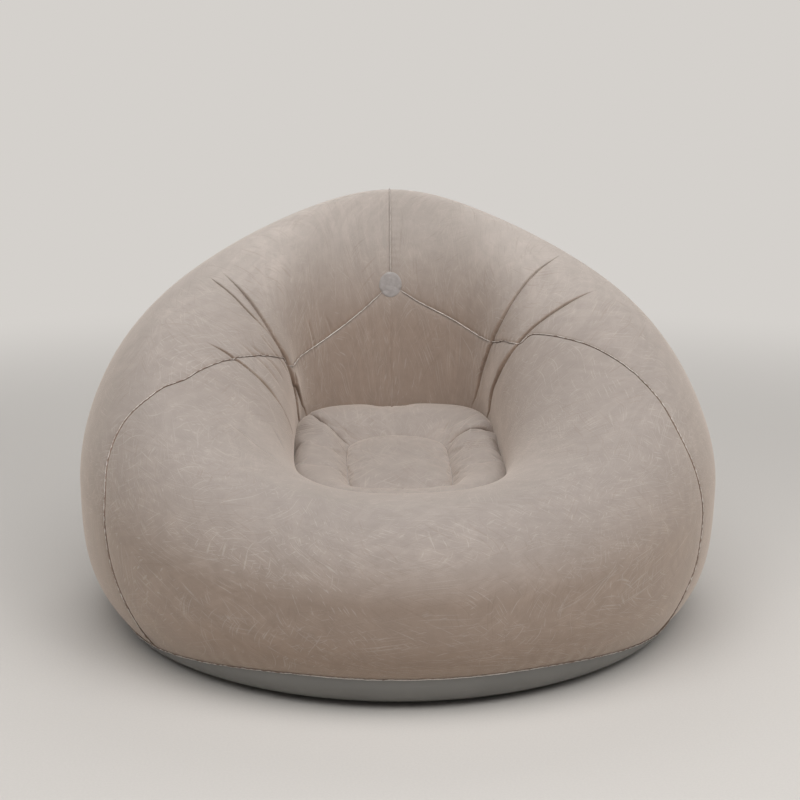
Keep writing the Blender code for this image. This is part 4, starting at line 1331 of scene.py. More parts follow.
@dataclass
class WeldFins:
    """The fins that stand along the welds of the panels, where the sheets meet edge to edge."""

    skin: Skin
    finish: Material
    height: float = 3.6 * MM
    thickness: float = 1.5 * MM
    foot: float = 0.8 * MM
    spacing: float = 1.6 * MM
    wave: float = 1.9 * MM
    wave_length: float = 11 * MM
    profile_points: int = 14
    base_points: int = 1000

    def shape(self) -> NodeShape:
        """The tree that sweeps a rounded section along a weld."""
        shape = NodeShape("weld_fin", {
            "Height": self.height, "Thickness": self.thickness, "Foot": self.foot, "Spacing": self.spacing,
            "Wave": self.wave, "Wave Length": self.wave_length}, self.finish)
        graph = shape.graph
        line = graph.node("GeometryNodeMeshToCurve", {"Mesh": shape.size("Geometry")})
        line = graph.node("GeometryNodeResampleCurve", {"Curve": line, "Length": shape.size("Spacing")},
                          mode="LENGTH")
        outward = graph.node("GeometryNodeInputNamedAttribute", {"Name": "outward"}, data_type="FLOAT_VECTOR")
        line = graph.node("GeometryNodeSetCurveNormal", {"Curve": line, "Normal": outward}, mode="FREE")
        place = graph.node("GeometryNodeInputPosition")
        sway = graph.sway(place, shape.size("Wave Length"))
        across = graph.vector("CROSS_PRODUCT", outward, graph.node("GeometryNodeInputTangent"))
        line = graph.moved(line, across, graph.times(sway, shape.size("Wave")))
        tall, thick = (graph.times(shape.size(name), 0.5) for name in ("Height", "Thickness"))
        lift = graph.math("SUBTRACT", tall, shape.size("Foot"))
        circle = graph.node("GeometryNodeCurvePrimitiveCircle", {
            "Resolution": self.profile_points, "Radius": 1.0})
        rise = graph.math("MULTIPLY_ADD", graph.part(place, "X"), 0.5, 0.5)
        circle = graph.node("GeometryNodeStoreNamedAttribute", {
            "Geometry": circle, "Name": "edge", "Value": rise}, data_type="FLOAT", domain="POINT")
        section = graph.node("GeometryNodeTransform", {
            "Geometry": circle, "Scale": graph.spot(tall, thick, 1.0), "Translation": graph.spot(lift)})
        strength = graph.node("GeometryNodeInputNamedAttribute", {"Name": "strength"}, data_type="FLOAT")
        swept = graph.node("GeometryNodeCurveToMesh", {
            "Curve": line, "Profile Curve": section, "Scale": strength, "Fill Caps": True})
        shape.finished(swept)
        return shape

    def build(self) -> None:
        """Make the fins of the arm seams, the seam down the back and the base seam."""
        shape = self.shape()
        for name, path in self.skin.seams.items():
            trace = self.skin.seam_trace(path)
            piece(name + "_weld", shape.made(trace.mesh(name + "_line")), self.finish)
        turn = all_round(self.base_points)
        trace = Trace(self.skin.form.point(turn, 0 * turn), sideways(turn), np.ones(len(turn)))
        piece("base_weld", shape.made(trace.mesh("base_line", closed=True)), self.finish)


@dataclass
class Base:
    """The smooth sheet that the chair stands on."""

    form: SkinForm
    finish: Material
    lowered: float = 0.4 * MM
    floor_radius: float = 0.424
    curl: float = 0.55
    wall: float = 1 * MM
    around: int = 384
    rows: int = 28
    wrinkle: float = 1.1 * MM
    wrinkle_length: float = 22 * MM

    def shape(self) -> NodeShape:
        """The tree that turns the base's section about the chair's middle."""
        shape = NodeShape("base_dish", {
            "Seam Radius": self.form.base_radii[0], "Seam Height": self.form.base_heights[0] - self.lowered,
            "Floor Radius": self.floor_radius, "Curl": self.curl, "Wrinkle": self.wrinkle,
            "Wrinkle Length": self.wrinkle_length}, self.finish)
        graph = shape.graph
        radius, top = shape.size("Seam Radius"), shape.size("Seam Height")
        inset = graph.math("SUBTRACT", shape.size("Floor Radius"), radius)
        straight = graph.math("SUBTRACT", 1.0, shape.size("Curl"))
        start = graph.spot(y=graph.times(top, -1.0))
        handle = graph.spot(y=graph.times(graph.times(top, straight), -1.0))
        bend = graph.spot(graph.times(inset, straight))
        foot = graph.spot(inset)
        side = graph.node("GeometryNodeCurvePrimitiveBezierSegment", {
            "Resolution": self.rows, "Start": start, "Start Handle": handle, "End Handle": bend, "End": foot})
        middle = graph.spot(graph.times(radius, -1.0))
        floor = graph.node("GeometryNodeCurvePrimitiveLine", {"Start": foot, "End": middle})
        floor = graph.node("GeometryNodeResampleCurve", {"Curve": floor, "Count": self.rows})
        section = graph.tree.nodes.new("GeometryNodeJoinGeometry")
        for part in (floor, side):
            graph.tree.links.new(part, section.inputs[0])
        ring = graph.node("GeometryNodeCurvePrimitiveCircle", {"Resolution": self.around, "Radius": radius})
        place = graph.node("GeometryNodeInputPosition")
        outward = graph.vector("NORMALIZE", place)
        ring = graph.node("GeometryNodeSetCurveNormal", {"Curve": ring, "Normal": outward}, mode="FREE")
        dish = graph.node("GeometryNodeCurveToMesh", {"Curve": ring, "Profile Curve": section.outputs[0]})
        dish = graph.node("GeometryNodeMergeByDistance", {"Geometry": dish, "Distance": 0.01 * MM})
        wave = graph.sway(graph.vector("MULTIPLY", place, (1.0, 1.0, 0.12)), shape.size("Wrinkle Length"))
        share = graph.math("DIVIDE", graph.part(place, "Z"), top)
        band = graph.times(graph.ramp(share, 0.05, 0.4), graph.ramp(share, 1.0, 0.9))
        size = graph.times(graph.times(wave, shape.size("Wrinkle")), band)
        shape.finished(graph.moved(dish, graph.node("GeometryNodeInputNormal"), size))
        return shape

    def lower_edge(self, mesh: Mesh) -> None:
        """Bring the dish's edge down to the seam, which runs low past the crescent in front."""
        points = np.empty((len(mesh.vertices), 3))
        mesh.vertices.foreach_get("co", points.ravel())
        radius, height = self.form.base_seam(np.arctan2(points[:, 0], self.form.middle_back - points[:, 1]))
        reach = np.hypot(points[:, 0], points[:, 1])
        top_radius, top_height = self.form.base_radii[0], self.form.base_heights[0]
        share = (radius - self.floor_radius) / (top_radius - self.floor_radius)
        moved = self.floor_radius + (reach - self.floor_radius) * share
        points[:, :2] *= (np.where(reach > self.floor_radius, moved, reach) / np.maximum(reach, MM))[:, None]
        points[:, 2] *= (height - self.lowered) / (top_height - self.lowered)
        mesh.vertices.foreach_set("co", points.ravel())

    def build(self) -> None:
        """Make the base."""
        mesh = self.shape().made(bpy.data.meshes.new("base_start"))
        self.lower_edge(mesh)
        with edited(mesh) as work:
            lowest = min(work.faces, key=lambda face: face.calc_center_median().z)
            if lowest.normal.z > 0:
                bmesh.ops.reverse_faces(work, faces=work.faces)
        made = piece("base_dish", mesh, self.finish, node="base_sheet")
        with_wall(made, self.wall)


@dataclass(frozen=True)
class Inflation:
    """A short cloth simulation in which air fills out a padded piece."""

    pressure: float = 4.0
    slack: float = 0.02
    frames: int = 20
    cap: float = 6 * MM

    def settled(self, points: Array, faces: Array, held: Array) -> Array:
        """Let air push a sheet out between its seams.

        Args:
            points: Points of the sheet.
            faces: Its faces, turned outwards.
            held: Numbers of the points on its seams, which stay.

        Returns:
            The points afterwards, none further from its start than the cap.
        """
        made = linked("inflating", plain_mesh("inflating", points, faces.tolist()))
        scene = bpy.context.scene
        seams = made.vertex_groups.new(name="seams")
        seams.add(held.tolist(), 1.0, "REPLACE")
        cloth = made.modifiers.new("air", "CLOTH")
        cloth.settings.use_pressure = True
        cloth.settings.uniform_pressure_force = self.pressure
        cloth.settings.shrink_min = -self.slack
        cloth.settings.vertex_group_mass = seams.name
        cloth.settings.effector_weights.gravity = 0
        cloth.collision_settings.use_collision = False
        cloth.point_cache.frame_end = self.frames
        for number in range(1, self.frames + 1):
            scene.frame_set(number)
        evaluated = made.evaluated_get(bpy.context.evaluated_depsgraph_get())
        moved = np.array([vertex.co for vertex in evaluated.data.vertices])
        bpy.data.objects.remove(made)
        scene.frame_set(1)
        offset = moved - points
        away = np.linalg.norm(offset, axis=1, keepdims=True)
        log.info("inflated: moved by %.1f mm at most", away.max() / MM)
        return points + offset * np.minimum(1, self.cap / np.maximum(away, 1e-9))


@dataclass
class Seat:
    """The tube round the seat and the crowned pillow in its middle."""

    form: SkinForm
    finish: Material
    weld_gap: float = 0.05 * MM
    well_gap: float = 0.6 * MM
    wall: float = 1 * MM
    ring_rise: float = 0.057
    ring_lean: float = radians(56)
    crest_shares: Pair = (0.45, 0.33)
    channel_depth: float = 0.03
    valleys: Pair = (0.3, 0.5)
    pillow_reaches: Triple = (0.088, 0.115, 0.084)
    pillow_power: float = 4.2
    pillow_rise: float = 0.018
    crown_power: float = 2.2
    back_turns: Pair = (100, 140)
    hump_turns: Pair = (95, 123)
    hump_rise: float = 12 * MM
    dip_turns: Pair = (136, 180)
    dip_depth: float = 7 * MM
    notch_depth: float = 3 * MM
    notch_width: float = 9
    mitre_depth: float = 13 * MM
    mitre_width: float = 2.0 * MM
    line_depth: float = 2.5 * MM
    line_width: float = 2 * MM
    fold_shade_width: float = 2.6 * MM
    left_mitre: tuple[Pair, ...] = (
        (-131, 0), (-133, 0.3), (-135, 0.47), (-131.5, 0.62), (-129.2, 0.76), (-129.8, 1))
    right_mitre: tuple[Pair, ...] = (
        (114, 0), (116.2, 0.37), (117.5, 0.56), (119.5, 0.72), (124.2, 0.95), (126, 1))
    wrinkle_spans: tuple[Pair, ...] = ((-124, -110), (86, 106))
    wrinkle_length: float = 4.2 * MM
    wrinkle_height: float = 1.2 * MM
    fine_spans: tuple[Pair, ...] = ((-139, -109), (85, 129))
    fine_step: float = 0.3
    pucker_length: float = 9 * MM
    pucker_height: float = 0.35 * MM
    swell_length: float = 0.06
    swell_height: float = 1.3 * MM
    map_reach: float = 0.17
    sections: int = 50
    coarse: tuple[int, int] = (190, 20)
    pillow_spacing: float = 4 * MM
    row_pitch: float = 0.866
    rim_points: int = 200
    rim_shares: tuple[float, ...] = (1, 0.99, 0.972, 0.95, 0.92)
    inner_share: float = 0.9
    pillow_swell_length: float = 0.035

    def pillow_seam(self, turn: Array) -> tuple[Array, Array]:
        """Reach and height of the seam between the tube and the pillow."""
        reach = self.form.to_outline(turn, self.pillow_reaches, self.pillow_power)
        return reach, self.form.well_seam(turn)[1] + self.ring_rise - self.channel_depth

    def tube(self, turn: Array, share: Array) -> Array:
        """Points of the smooth tube, from the well's seam at share 0 to the pillow's seam at share 1."""
        outer, outer_height = self.form.well_seam(turn)
        inner, inner_height = self.pillow_seam(turn)
        outer, inner = outer - self.well_gap, inner + self.weld_gap
        behind = stepped(np.abs(np.degrees(turn)), self.back_turns)
        crest_share, valley = (low + (high - low) * behind for low, high in (self.crest_shares, self.valleys))
        crest = outer + (inner - outer) * crest_share
        top = outer_height + self.ring_rise
        curl = self.form.bezier_share
        lean = (outer - crest) * curl
        up, down = np.clip(share * 2, 0, 1), np.clip(share * 2 - 1, 0, 1)
        rising = share < 0.5
        reach = np.where(
            rising, bezier(outer, outer - lean * cos(self.ring_lean), crest + lean, crest, up),
            bezier(crest, crest - curl * (crest - inner), inner + valley * (crest - inner), inner, down))
        height = np.where(
            rising, bezier(outer_height, outer_height + lean * sin(self.ring_lean), top, top, up),
            bezier(top, top, inner_height + curl * (top - inner_height), inner_height, down))
        return self.form.placed(turn, reach, height)

    def mitre_distances(self, turn: Array, share: Array, points: Array) -> list[Array]:
        """How far each point lies from each mitre, along the tube."""
        reach = np.hypot(points[..., 0], points[..., 1] - self.form.middle_back)
        found = []
        for places in (self.left_mitre, self.right_mitre):
            marks = np.array(places)
            line = np.interp(share, marks[:, 1], marks[:, 0])
            found.append((turn - np.radians(line)) * reach)
        return found

    def relief(self, turn: Array, share: Array, points: Array) -> Array:
        """Height of the tube's humps, mitres and wrinkles over the smooth form.

        Args:
            turn: Turns of the points.
            share: Shares of the way across the tube.
            points: The points on the smooth tube.

        Returns:
            A height at each point.
        """
        degrees = np.degrees(turn)
        window = np.sin(pi * share)
        back = np.abs(degrees)
        height = self.hump_rise * stepped(back, self.hump_turns) * window
        height -= self.dip_depth * stepped(back, self.dip_turns) * window
        height -= self.notch_depth * np.exp(-((back - 180) / self.notch_width) ** 2) * window
        reach = np.hypot(points[..., 0], points[..., 1] - self.form.middle_back)
        for away in self.mitre_distances(turn, share, points):
            ratio = np.abs(away) / self.mitre_width
            shape = 0.65 * np.exp(-ratio) + 0.35 * np.exp(-(ratio / 4) ** 2)
            height -= self.mitre_depth * shape * eased(share * 6) * eased((1 - share) * 6)
        line = np.exp(-np.abs(np.radians(back - 180) * reach) / self.line_width)
        height -= self.line_depth * line * eased(share * 8) * eased((0.7 - share) * 6)
        for number, (start, end) in enumerate(self.wrinkle_spans):
            run = np.radians(degrees - start) * reach
            span = eased((degrees - start) / 4) * eased((end - degrees) / 4)
            across = eased((share - 0.12) * 8) * eased((0.8 - share) * 6)
            wave = puckers(np.maximum(run, 0), self.wrinkle_length, 30 + number)
            height += self.wrinkle_height * wave * span * across
        run = (turn + pi) * 0.16
        for edge, seed in ((share, 11), (1 - share, 12)):
            wave = puckers(run, self.pucker_length, seed)
            height += self.pucker_height * wave * np.exp(-edge / 0.14) * eased(edge * 20)
        swell = swells(points.reshape(-1, 3), self.swell_length).reshape(share.shape)
        return height + self.swell_height * swell * window

    def build_ring(self) -> None:
        """Make the tube."""
        across = np.linspace(0, 1, self.coarse[1] + 1)
        around = all_round(self.coarse[0])
        share, turn = np.meshgrid(across, around, indexing="ij")
        start = self.tube(turn, share).reshape(-1, 3)
        faces = grid_faces(len(across), len(around))
        seams = np.flatnonzero((share.ravel() == 0) | (share.ravel() == 1))
        moved = Inflation().settled(start, faces, seams) - start
        moved = moved.reshape(len(across), len(around), 3)
        marks = [np.linspace(-180, 180, 560, endpoint=False)]
        marks += [np.arange(start, end, self.fine_step) for start, end in self.fine_spans]
        fine_turn = np.unique(np.radians(np.concatenate(marks)).round(5))
        fine_share = np.linspace(0, 1, self.sections + 1)
        share, turn = np.meshgrid(fine_share, fine_turn, indexing="ij")
        points = self.tube(turn, share)
        column = (turn + pi) / FULL_TURN * len(around)
        row = share * (len(across) - 1)
        low_row, low_column = np.minimum(row.astype(int), len(across) - 2), column.astype(int) % len(around)
        a, b = (row - low_row)[..., None], (column - column.astype(int))[..., None]
        ahead = (low_column + 1) % len(around)
        offset = ((1 - a) * ((1 - b) * moved[low_row, low_column] + b * moved[low_row, ahead])
                  + a * ((1 - b) * moved[low_row + 1, low_column] + b * moved[low_row + 1, ahead]))
        step = 1e-3
        slope_turn = self.tube(turn + step, share) - self.tube(turn - step, share)
        before, after = np.maximum(share - step, 0), np.minimum(share + step, 1)
        normal = unit(np.cross(slope_turn, self.tube(turn, after) - self.tube(turn, before)))
        mitres = self.mitre_distances(turn, share, points)
        # Painted shade: how strongly the flock is darkened along each mitre fold.
        painted_fold_shade = sum(np.exp(-(away / self.fold_shade_width) ** 2) for away in mitres)
        painted_fold_shade = painted_fold_shade * eased(share * 7) * eased((1 - share) * 7)
        points = points + offset + self.relief(turn, share, points)[..., None] * normal
        faces = grid_faces(len(fine_share), len(fine_turn))
        mesh = plain_mesh("seat_ring_tube", points.reshape(-1, 3), faces.tolist())
        mesh.attributes.new(PAINTED_FOLD_SHADE_MAP, "FLOAT", "POINT").data.foreach_set("value", painted_fold_shade.ravel())
        flat = np.stack([turn * self.map_reach, share * self.map_reach + 2], -1).reshape(-1, 2)[faces]
        wrapped = np.arange(len(faces)) % len(fine_turn) == len(fine_turn) - 1
        flat[wrapped, 1:3, 0] += FULL_TURN * self.map_reach
        lay_out(mesh, flat)
        made = piece("seat_ring_tube", mesh, self.finish, node="seat_ring")
        with_wall(made, self.wall)

    def build_pillow(self) -> None:
        """Make the pillow."""
        around = all_round(self.rim_points)
        reach = self.pillow_seam(around)[0] - self.weld_gap
        rim = reach[:, None] * sideways(around)[:, :2]
        rows = [rim * share for share in self.rim_shares]
        half, front, back = self.pillow_reaches
        pitch = self.pillow_spacing
        for number, y in enumerate(np.arange(-front, back, pitch * self.row_pitch)):
            x = np.arange(-half, half, pitch) + number % 2 * pitch / 2
            rows.append(np.stack([x, 0 * x + y], -1))
        spots = np.concatenate(rows)
        turn = np.arctan2(spots[:, 0], -spots[:, 1])
        ratio = np.hypot(spots[:, 0], spots[:, 1]) / (self.pillow_seam(turn)[0] - self.weld_gap)
        ringed = np.arange(len(spots)) < len(around) * len(self.rim_shares)
        spots = spots[ringed | (ratio < self.inner_share)]
        edges = [(k, (k + 1) % len(around)) for k in range(len(around))]
        flat, faces, _ = triangulated(spots, edges, True, 1e-7)
        turn = np.arctan2(flat[:, 0], -flat[:, 1])
        ratio = np.minimum(np.hypot(flat[:, 0], flat[:, 1]) / (self.pillow_seam(turn)[0] - self.weld_gap), 1)
        middle = self.pillow_seam(np.array(pi / 2))[1]
        low = middle + (self.pillow_seam(turn)[1] - middle) * ratio
        rise = self.pillow_rise * np.maximum(1 - ratio ** self.crown_power, 0) ** (1 / self.crown_power)
        points = np.stack([flat[:, 0], flat[:, 1] + self.form.middle_back, low + rise], -1)
        held = np.flatnonzero(ratio > 0.9999)
        points = Inflation(cap=5 * MM).settled(points, faces, held)
        run = (turn + pi) * 0.1
        wave = self.pucker_height * puckers(run, self.pucker_length, 21) * np.exp(-(1 - ratio) / 0.12)
        wave += 1 * MM * swells(points, self.pillow_swell_length)
        points[:, 2] += wave * eased((1 - ratio) * 12)
        mesh = plain_mesh("seat_pillow_crown", points, faces.tolist())
        lay_out(mesh, (flat + (3, 3))[faces])
        made = piece("seat_pillow_crown", mesh, self.finish, node="seat_pillow")
        with_wall(made, self.wall)
        finer = made.modifiers.new("finer", "SUBSURF")
        finer.levels = finer.render_levels = 1

    def build(self) -> None:
        """Make the tube and the pillow."""
        self.build_ring()
        self.build_pillow()


@dataclass
class Patch:
    """The clear disc welded over the place where the three upper seams meet."""

    skin: Skin
    finish: Material
    radius: float = 20.5 * MM
    tallness: float = 1.12
    wall: float = 0.6 * MM
    stand: float = 0.9 * MM
    ridge: float = 0.15 * MM
    ridges: tuple[float, ...] = (0.45, 0.82)
    rings: int = 40
    sides: int = 96

    def build(self) -> None:
        """Make the disc."""
        form = self.skin.form
        turn, climb = (np.array(value) for value in (pi, self.skin.centre_seam.places[-1][1]))
        slope_turn, slope_climb = (np.linalg.norm(slope) for slope in form.slopes(turn, climb))
        share = np.linspace(0.02, 1, self.rings)
        angle = np.linspace(0, FULL_TURN, self.sides, endpoint=False)
        share, angle = np.meshgrid(share, angle, indexing="ij")
        share, angle = share.ravel(), angle.ravel()
        turns = turn + share * self.radius * np.cos(angle) / slope_turn
        climbs = climb + share * self.radius * self.tallness * np.sin(angle) / slope_climb
        wrapped = np.where(turns > pi, turns - FULL_TURN, turns)
        height = self.stand * np.minimum(1, np.sqrt(np.maximum(1 - share ** 6, 0)) + 0.35)
        for place in self.ridges:
            height = height + self.ridge * np.exp(-((share - place) / 0.06) ** 2)
        height = height + 0.5 * MM * np.exp(-(share / 0.12) ** 2)
        hugging = self.skin.displaced(wrapped, climbs)
        lifted = hugging + (form.point(wrapped, climbs) - hugging) * (0.85 * (1 - share ** 4))[:, None]
        points = lifted + height[:, None] * form.normal(wrapped, climbs)
        faces = grid_faces(self.rings, self.sides).tolist()
        mesh = plain_mesh("seam_patch_disc", points, [*faces, list(range(self.sides))[::-1]])
        with edited(mesh) as work:
            bmesh.ops.recalc_face_normals(work, faces=work.faces)
            work.faces.ensure_lookup_table()
            if work.faces[0].normal.dot(Vector(form.normal(turn, climb))) < 0:
                bmesh.ops.reverse_faces(work, faces=work.faces)
        with_wall(piece("seam_patch_disc", mesh, self.finish, node="seam_patch"), self.wall)


def squarer(wave: float, power: float) -> float:
    """A sine or cosine with fuller shoulders, its sign kept."""
    return copysign(abs(wave) ** power, wave)


@dataclass
class Valve:
    """The two-way valve low on the back: flange and neck, stopper, cap, flap and straps."""

    skin: Skin
    moulded: Material
    clear: Material
    flange_radius: float = 28 * MM
    flange_wall: float = 1.5 * MM
    neck_radius: float = 17 * MM
    neck_length: float = 22 * MM
    bore_radius: float = 14 * MM
    clearance: float = 0.3 * MM
    plug_length: float = 14 * MM
    rim_radius: float = 20 * MM
    rim_wall: float = 2.5 * MM
    port_radius: float = 6 * MM
    cap_plug: float = 8 * MM
    cap_radius: float = 9 * MM
    cap_wall: float = 2 * MM
    flap_radius: float = 8 * MM
    flap_wall: float = 0.8 * MM
    strap_width: float = 6 * MM
    strap_wall: float = 1.2 * MM
    strap_rise: float = 4 * MM
    strap_rows: int = 28
    strap_sides: int = 16
    soft: float = 0.45 * MM
    sides: int = 96
    ribs: int = 44
    rib_radius: float = 0.55 * MM
    rib_sides: int = 8
    groove: float = 0.5 * MM

    def __post_init__(self) -> None:
        """Work out the valve's own frame and the heights of its parts."""
        axis = Vector(self.skin.valve_axis)
        side = Vector((0, 0, 1)).cross(axis).normalized()
        self.frame = Matrix((side, axis.cross(side), axis)).transposed().to_4x4()
        self.frame.translation = Vector(self.skin.valve_point)
        self.flange_top = self.clearance + self.flange_wall
        self.rim_low = self.flange_top + self.clearance
        self.rim_top = self.rim_low + self.rim_wall
        self.plug_low = self.rim_low - self.plug_length
        self.cap_low = self.rim_top + self.clearance

    def softened(self, profile: list[Pair], closed: bool) -> list[Pair]:
        """A profile with its corners rounded off.

        Args:
            profile: Radii and heights.
            closed: Whether it runs round; its ends stay sharp if not.

        Returns:
            The finer profile.
        """
        marks = [np.array(point) for point in profile]
        count = len(marks)
        found = []
        for index, corner in enumerate(marks):
            if not closed and index in (0, count - 1):
                found.append(tuple(corner))
                continue
            arms = [marks[index - 1] - corner, marks[(index + 1) % count] - corner]
            reach = min(self.soft, *(np.linalg.norm(arm) / 2.2 for arm in arms))
            start, end = (corner + arm / np.linalg.norm(arm) * reach for arm in arms)
            for t in (0, 0.25, 0.5, 0.75, 1):
                found.append(tuple((1 - t) ** 2 * start + 2 * t * (1 - t) * corner + t * t * end))
        return found

    def lofted(self, name: str, rings: list[list[Triple]], capped: bool = False) -> Mesh:
        """Join rings of points, and move them from the valve's own frame to its place.

        Args:
            name: The mesh's name.
            rings: Rings of equally many points. One that comes again is the same ring.
            capped: Whether the first and the last ring are filled.

        Returns:
            The mesh.
        """
        mesh = bpy.data.meshes.new(name)
        with edited(mesh) as work:
            corners = {}
            loops = []
            for ring in rings:
                for point in ring:
                    if point not in corners:
                        corners[point] = work.verts.new(point)
                loops.append([corners[point] for point in ring])
            for first, second in zip(loops, loops[1:]):
                for k in range(len(first)):
                    ahead = (k + 1) % len(first)
                    face = list(dict.fromkeys((first[k], first[ahead], second[ahead], second[k])))
                    if len(face) > 2:
                        work.faces.new(face)
            if capped:
                work.faces.new(loops[0])
                work.faces.new(loops[-1])
            bmesh.ops.recalc_face_normals(work, faces=work.faces)
        mesh.transform(self.frame)
        return mesh

    def turned(self, name: str, profile: list[Pair], closed: bool, finish: Material,
               body: str, slot: Slot = Slot.MOULDED) -> None:
        """Make a turned part about the valve's axis.

        Args:
            name: The node that it stands for.
            profile: Radii and heights.
            closed: Whether the profile runs round; if not, its ends are on the axis.
            finish: Its material.
            body: The body it moves with.
            slot: The record's slot; not used.
        """
        angles = [FULL_TURN * k / self.sides for k in range(self.sides)]
        rings = [[(radius * cos(angle), radius * sin(angle), height) for angle in angles]
                 for radius, height in self.softened(profile, closed)]
        mesh = self.lofted(name + "_turned", rings + rings[:1] if closed else rings)
        piece(name + "_turned", mesh, finish, body=body, node=name)

    def strap(self, name: str, start: float, end: float, height: float, bodies: tuple[str, str]) -> None:
        """Make an arched strap.

        Args:
            name: The node that it stands for.
            start: Reach of its outer end from the axis.
            end: Reach of its inner end.
            height: Height of both ends.
            bodies: The bodies at its outer and its inner end.
        """
        rings = []
        for step in range(self.strap_rows + 1):
            t = step / self.strap_rows
            reach = start + (end - start) * t
            rise = height + self.strap_rise * sin(pi * t)
            slope = atan2(self.strap_rise * pi * cos(pi * t), abs(end - start))
            ring = []
            for k in range(self.strap_sides):
                angle = FULL_TURN * k / self.strap_sides
                across = squarer(cos(angle), 0.4) * self.strap_width / 2
                layer = (1 + squarer(sin(angle), 0.7)) * self.strap_wall / 2
                ring.append((across, -reach - layer * sin(slope), rise + layer * cos(slope)))
            rings.append(ring)
        made = linked(name + "_strip", self.lofted(name + "_strip", rings, capped=True), self.moulded)
        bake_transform(made)
        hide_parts(name)
        log.info("%s: between %s and %s", made.name, *bodies)

    def rib_shape(self) -> NodeShape:
        """The tree that sets grip ribs round the stopper's rim."""
        shape = NodeShape("grip_ribs", {
            "Rim Radius": self.rim_radius, "Rib Radius": self.rib_radius,
            "Rib Height": self.rim_wall - 2 * self.soft,
            "Middle": (self.rim_low + self.rim_top) / 2}, self.moulded)
        graph = shape.graph
        circle = graph.node("GeometryNodeMeshCircle", {
            "Vertices": self.ribs, "Radius": shape.size("Rim Radius")})
        lifted = graph.node("GeometryNodeTransform", {
            "Geometry": circle, "Translation": graph.spot(z=shape.size("Middle"))})
        rib = graph.node("GeometryNodeMeshCylinder", {
            "Vertices": self.rib_sides, "Radius": shape.size("Rib Radius"),
            "Depth": shape.size("Rib Height")}, output="Mesh")
        shape.finished(graph.node("GeometryNodeInstanceOnPoints", {"Points": lifted, "Instance": rib}))
        return shape

    def build(self) -> None:
        """Make the valve's parts."""
        c, groove = self.clearance, self.groove
        lip, top = self.rim_radius, self.flange_top
        self.turned("valve_base", [
            (self.flange_radius, c), (self.flange_radius - 0.6 * MM, top), (lip + 3.2 * MM, top),
            (lip + 2.6 * MM, top + groove), (lip + 1.6 * MM, top + groove), (lip + 1 * MM, top),
            (self.bore_radius, top), (self.bore_radius, -self.neck_length),
            (self.neck_radius, -self.neck_length), (self.neck_radius, c)], True, self.moulded, "body")
        lip, top = self.cap_radius, self.rim_top
        self.turned("valve_stopper", [
            (self.rim_radius, self.rim_low), (self.rim_radius, top), (lip + 2.6 * MM, top),
            (lip + 1.8 * MM, top - groove), (lip + 0.9 * MM, top), (self.port_radius, top),
            (self.port_radius, self.plug_low), (self.bore_radius - c, self.plug_low),
            (self.bore_radius - c, self.rim_low)], True, self.moulded, "stopper")
        plug, low, top = self.port_radius - c, self.cap_low - self.cap_plug, self.cap_low + self.cap_wall
        self.turned("valve_cap", [
            (0, low), (plug, low), (plug, self.cap_low), (lip, self.cap_low), (lip, top),
            (lip - 1.6 * MM, top), (lip - 2.4 * MM, top - groove), (2 * MM, top - groove),
            (0, top - groove)], False, self.moulded, "cap")
        top = self.plug_low - c
        self.turned("valve_flap", [
            (0, top - self.flap_wall), (self.flap_radius, top - self.flap_wall), (self.flap_radius, top),
            (0, top)], False, self.clear, "flap", Slot.CLEAR)
        self.strap("stopper_strap", self.flange_radius - self.strap_wall, self.rim_radius + c, self.rim_low,
                   ("body", "stopper"))
        self.strap("cap_strap", self.rim_radius - self.strap_wall, self.cap_radius + c, self.cap_low,
                   ("stopper", "cap"))
        ribs = self.rib_shape().made(bpy.data.meshes.new("rib_start"))
        ribs.transform(self.frame)
        piece("stopper_ribs", ribs, self.moulded, body="stopper")


@dataclass
class TieBands:
    """The inner walls that hold the seat's seams down to the base, with windows for the air."""

    seat: Seat
    finish: Material
    wall: float = 0.8 * MM
    low: float = 1.3 * MM
    vent_height: float = 0.05
    vents: int = 12
    columns: int = 240
    rows: int = 28

    def build(self) -> None:
        """Make both bands."""
        shares = np.linspace(0, 1, self.rows + 1)
        for name, seam in (("ring_tie_band", self.seat.form.well_seam),
                           ("pillow_tie_band", self.seat.pillow_seam)):
            share, turn = np.meshgrid(shares, all_round(self.columns), indexing="ij")
            reach, top = seam(turn)
            top = top - self.seat.weld_gap
            height = self.low + (top - self.low) * share
            points = self.seat.form.placed(turn, reach, height).reshape(-1, 3)
            faces = grid_faces(self.rows + 1, self.columns)
            middle = height.ravel()[faces].mean(1) - (self.low + top.ravel()[faces].mean(1)) / 2
            column = np.arange(len(faces)) % self.columns
            step = self.columns // self.vents
            place = (column % step + 0.5) / step * 4 - 0.5
            inside = (np.abs(middle) / (self.vent_height / 2)) ** 4 + np.abs(place * 2) ** 4 < 1
            mesh = plain_mesh(name + "_wall", points, faces[~inside].tolist())
            with edited(mesh) as work:
                loose = [vertex for vertex in work.verts if not vertex.link_faces]
                bmesh.ops.delete(work, geom=loose, context="VERTS")
            with_wall(piece(name + "_wall", mesh, self.finish, node=name), self.wall, offset=0)


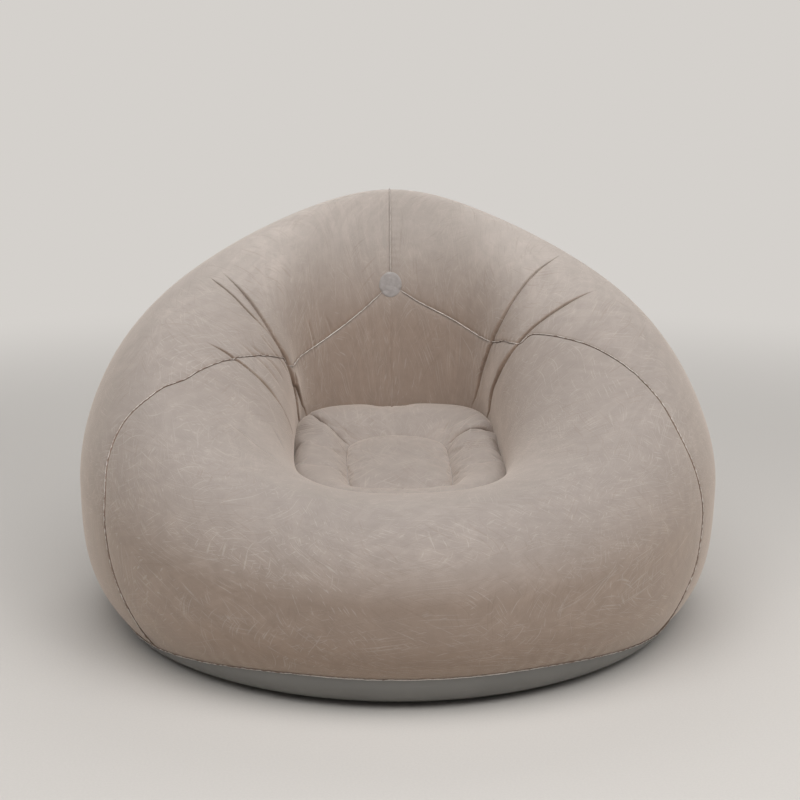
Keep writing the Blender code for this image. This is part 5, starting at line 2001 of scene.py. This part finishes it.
@dataclass
class Studio:
    """Camera, lights and floor."""

    camera_place: Triple = (-0.1422, -2.3257, 0.870)
    camera_turn: Triple = (77.437, 0, -3.592)
    lens: float = 63
    aim: Triple = (0, 0, 0.3)
    wall_back: float = 7.0
    wall_bend: float = 2.5
    wall_height: float = 6.0
    bend_steps: int = 16
    half_width: float = 9.0
    front: float = -6.0

    def backdrop(self) -> None:
        """A floor that curves up into a wall."""
        line = [(self.front, 0.0), (self.wall_back - self.wall_bend, 0.0)]
        for step in range(1, self.bend_steps + 1):
            angle = pi / 2 * step / self.bend_steps
            line.append((self.wall_back - self.wall_bend + self.wall_bend * sin(angle),
                         self.wall_bend * (1 - cos(angle))))
        line.append((self.wall_back, self.wall_height))
        points = [(x, y, z) for y, z in line for x in (-self.half_width, self.half_width)]
        faces = [(2 * k, 2 * k + 1, 2 * k + 3, 2 * k + 2) for k in range(len(line) - 1)]
        made = linked("studio_floor", plain_mesh("studio_floor", points, faces), StudioFinish().material())

    def lamp(self, name: str, place: Triple, size: float, power: float) -> None:
        """A soft square light turned to the chair.

        Args:
            name: Its name.
            place: Where it hangs.
            size: Its side.
            power: Its power in watts.
        """
        light = bpy.data.lights.new(name, "AREA")
        light.size = size
        light.energy = power
        made = linked(name, light)
        made.location = place
        made.rotation_euler = (Vector(self.aim) - Vector(place)).to_track_quat("-Z", "Y").to_euler()

    def build(self) -> None:
        """Set the studio up."""
        scene = bpy.context.scene
        camera = linked("photo_camera", bpy.data.cameras.new("photo_camera"))
        camera.data.lens = self.lens
        camera.data.sensor_width = 36
        camera.location = self.camera_place
        camera.rotation_euler = [radians(angle) for angle in self.camera_turn]
        scene.camera = camera
        self.backdrop()
        self.lamp("above_front", (0.0, -1.5, 3.2), 3.2, 83)
        self.lamp("left", (-1.9, -1.6, 2.6), 2.0, 20)
        self.lamp("right", (1.9, -1.6, 2.6), 2.0, 34)
        self.lamp("back", (0.2, 2.8, 2.8), 2.4, 32)
        world = bpy.data.worlds.new("studio")
        world.use_nodes = True
        graph = Graph(world.node_tree)
        light = graph.node("ShaderNodeBackground", {"Color": (0.9, 0.9, 0.9, 1), "Strength": 0.15})
        seen = graph.node("ShaderNodeBackground", {"Color": (*StudioFinish().far, 1)})
        camera_ray = graph.node("ShaderNodeLightPath", output="Is Camera Ray")
        graph.shown(camera_ray, light, seen, "World Output")
        scene.world = world
        scene.view_settings.view_transform = "Standard"


def main() -> None:
    """Build the chair round its frame."""
    logging.basicConfig(level=logging.INFO, format="%(name)s: %(message)s")
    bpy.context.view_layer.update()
    finishes = Finishes()
    skin = Skin(SkinForm())
    skin.build(finishes.flock)
    WeldFins(skin, finishes.weld).build()
    Base(skin.form, finishes.smooth).build()
    seat = Seat(skin.form, finishes.flock)
    seat.build()
    Patch(skin, finishes.clear).build()
    Valve(skin, finishes.moulded, finishes.clear).build()
    TieBands(seat, finishes.inner).build()
    Studio().build()


if __name__ == "__main__":
    main()
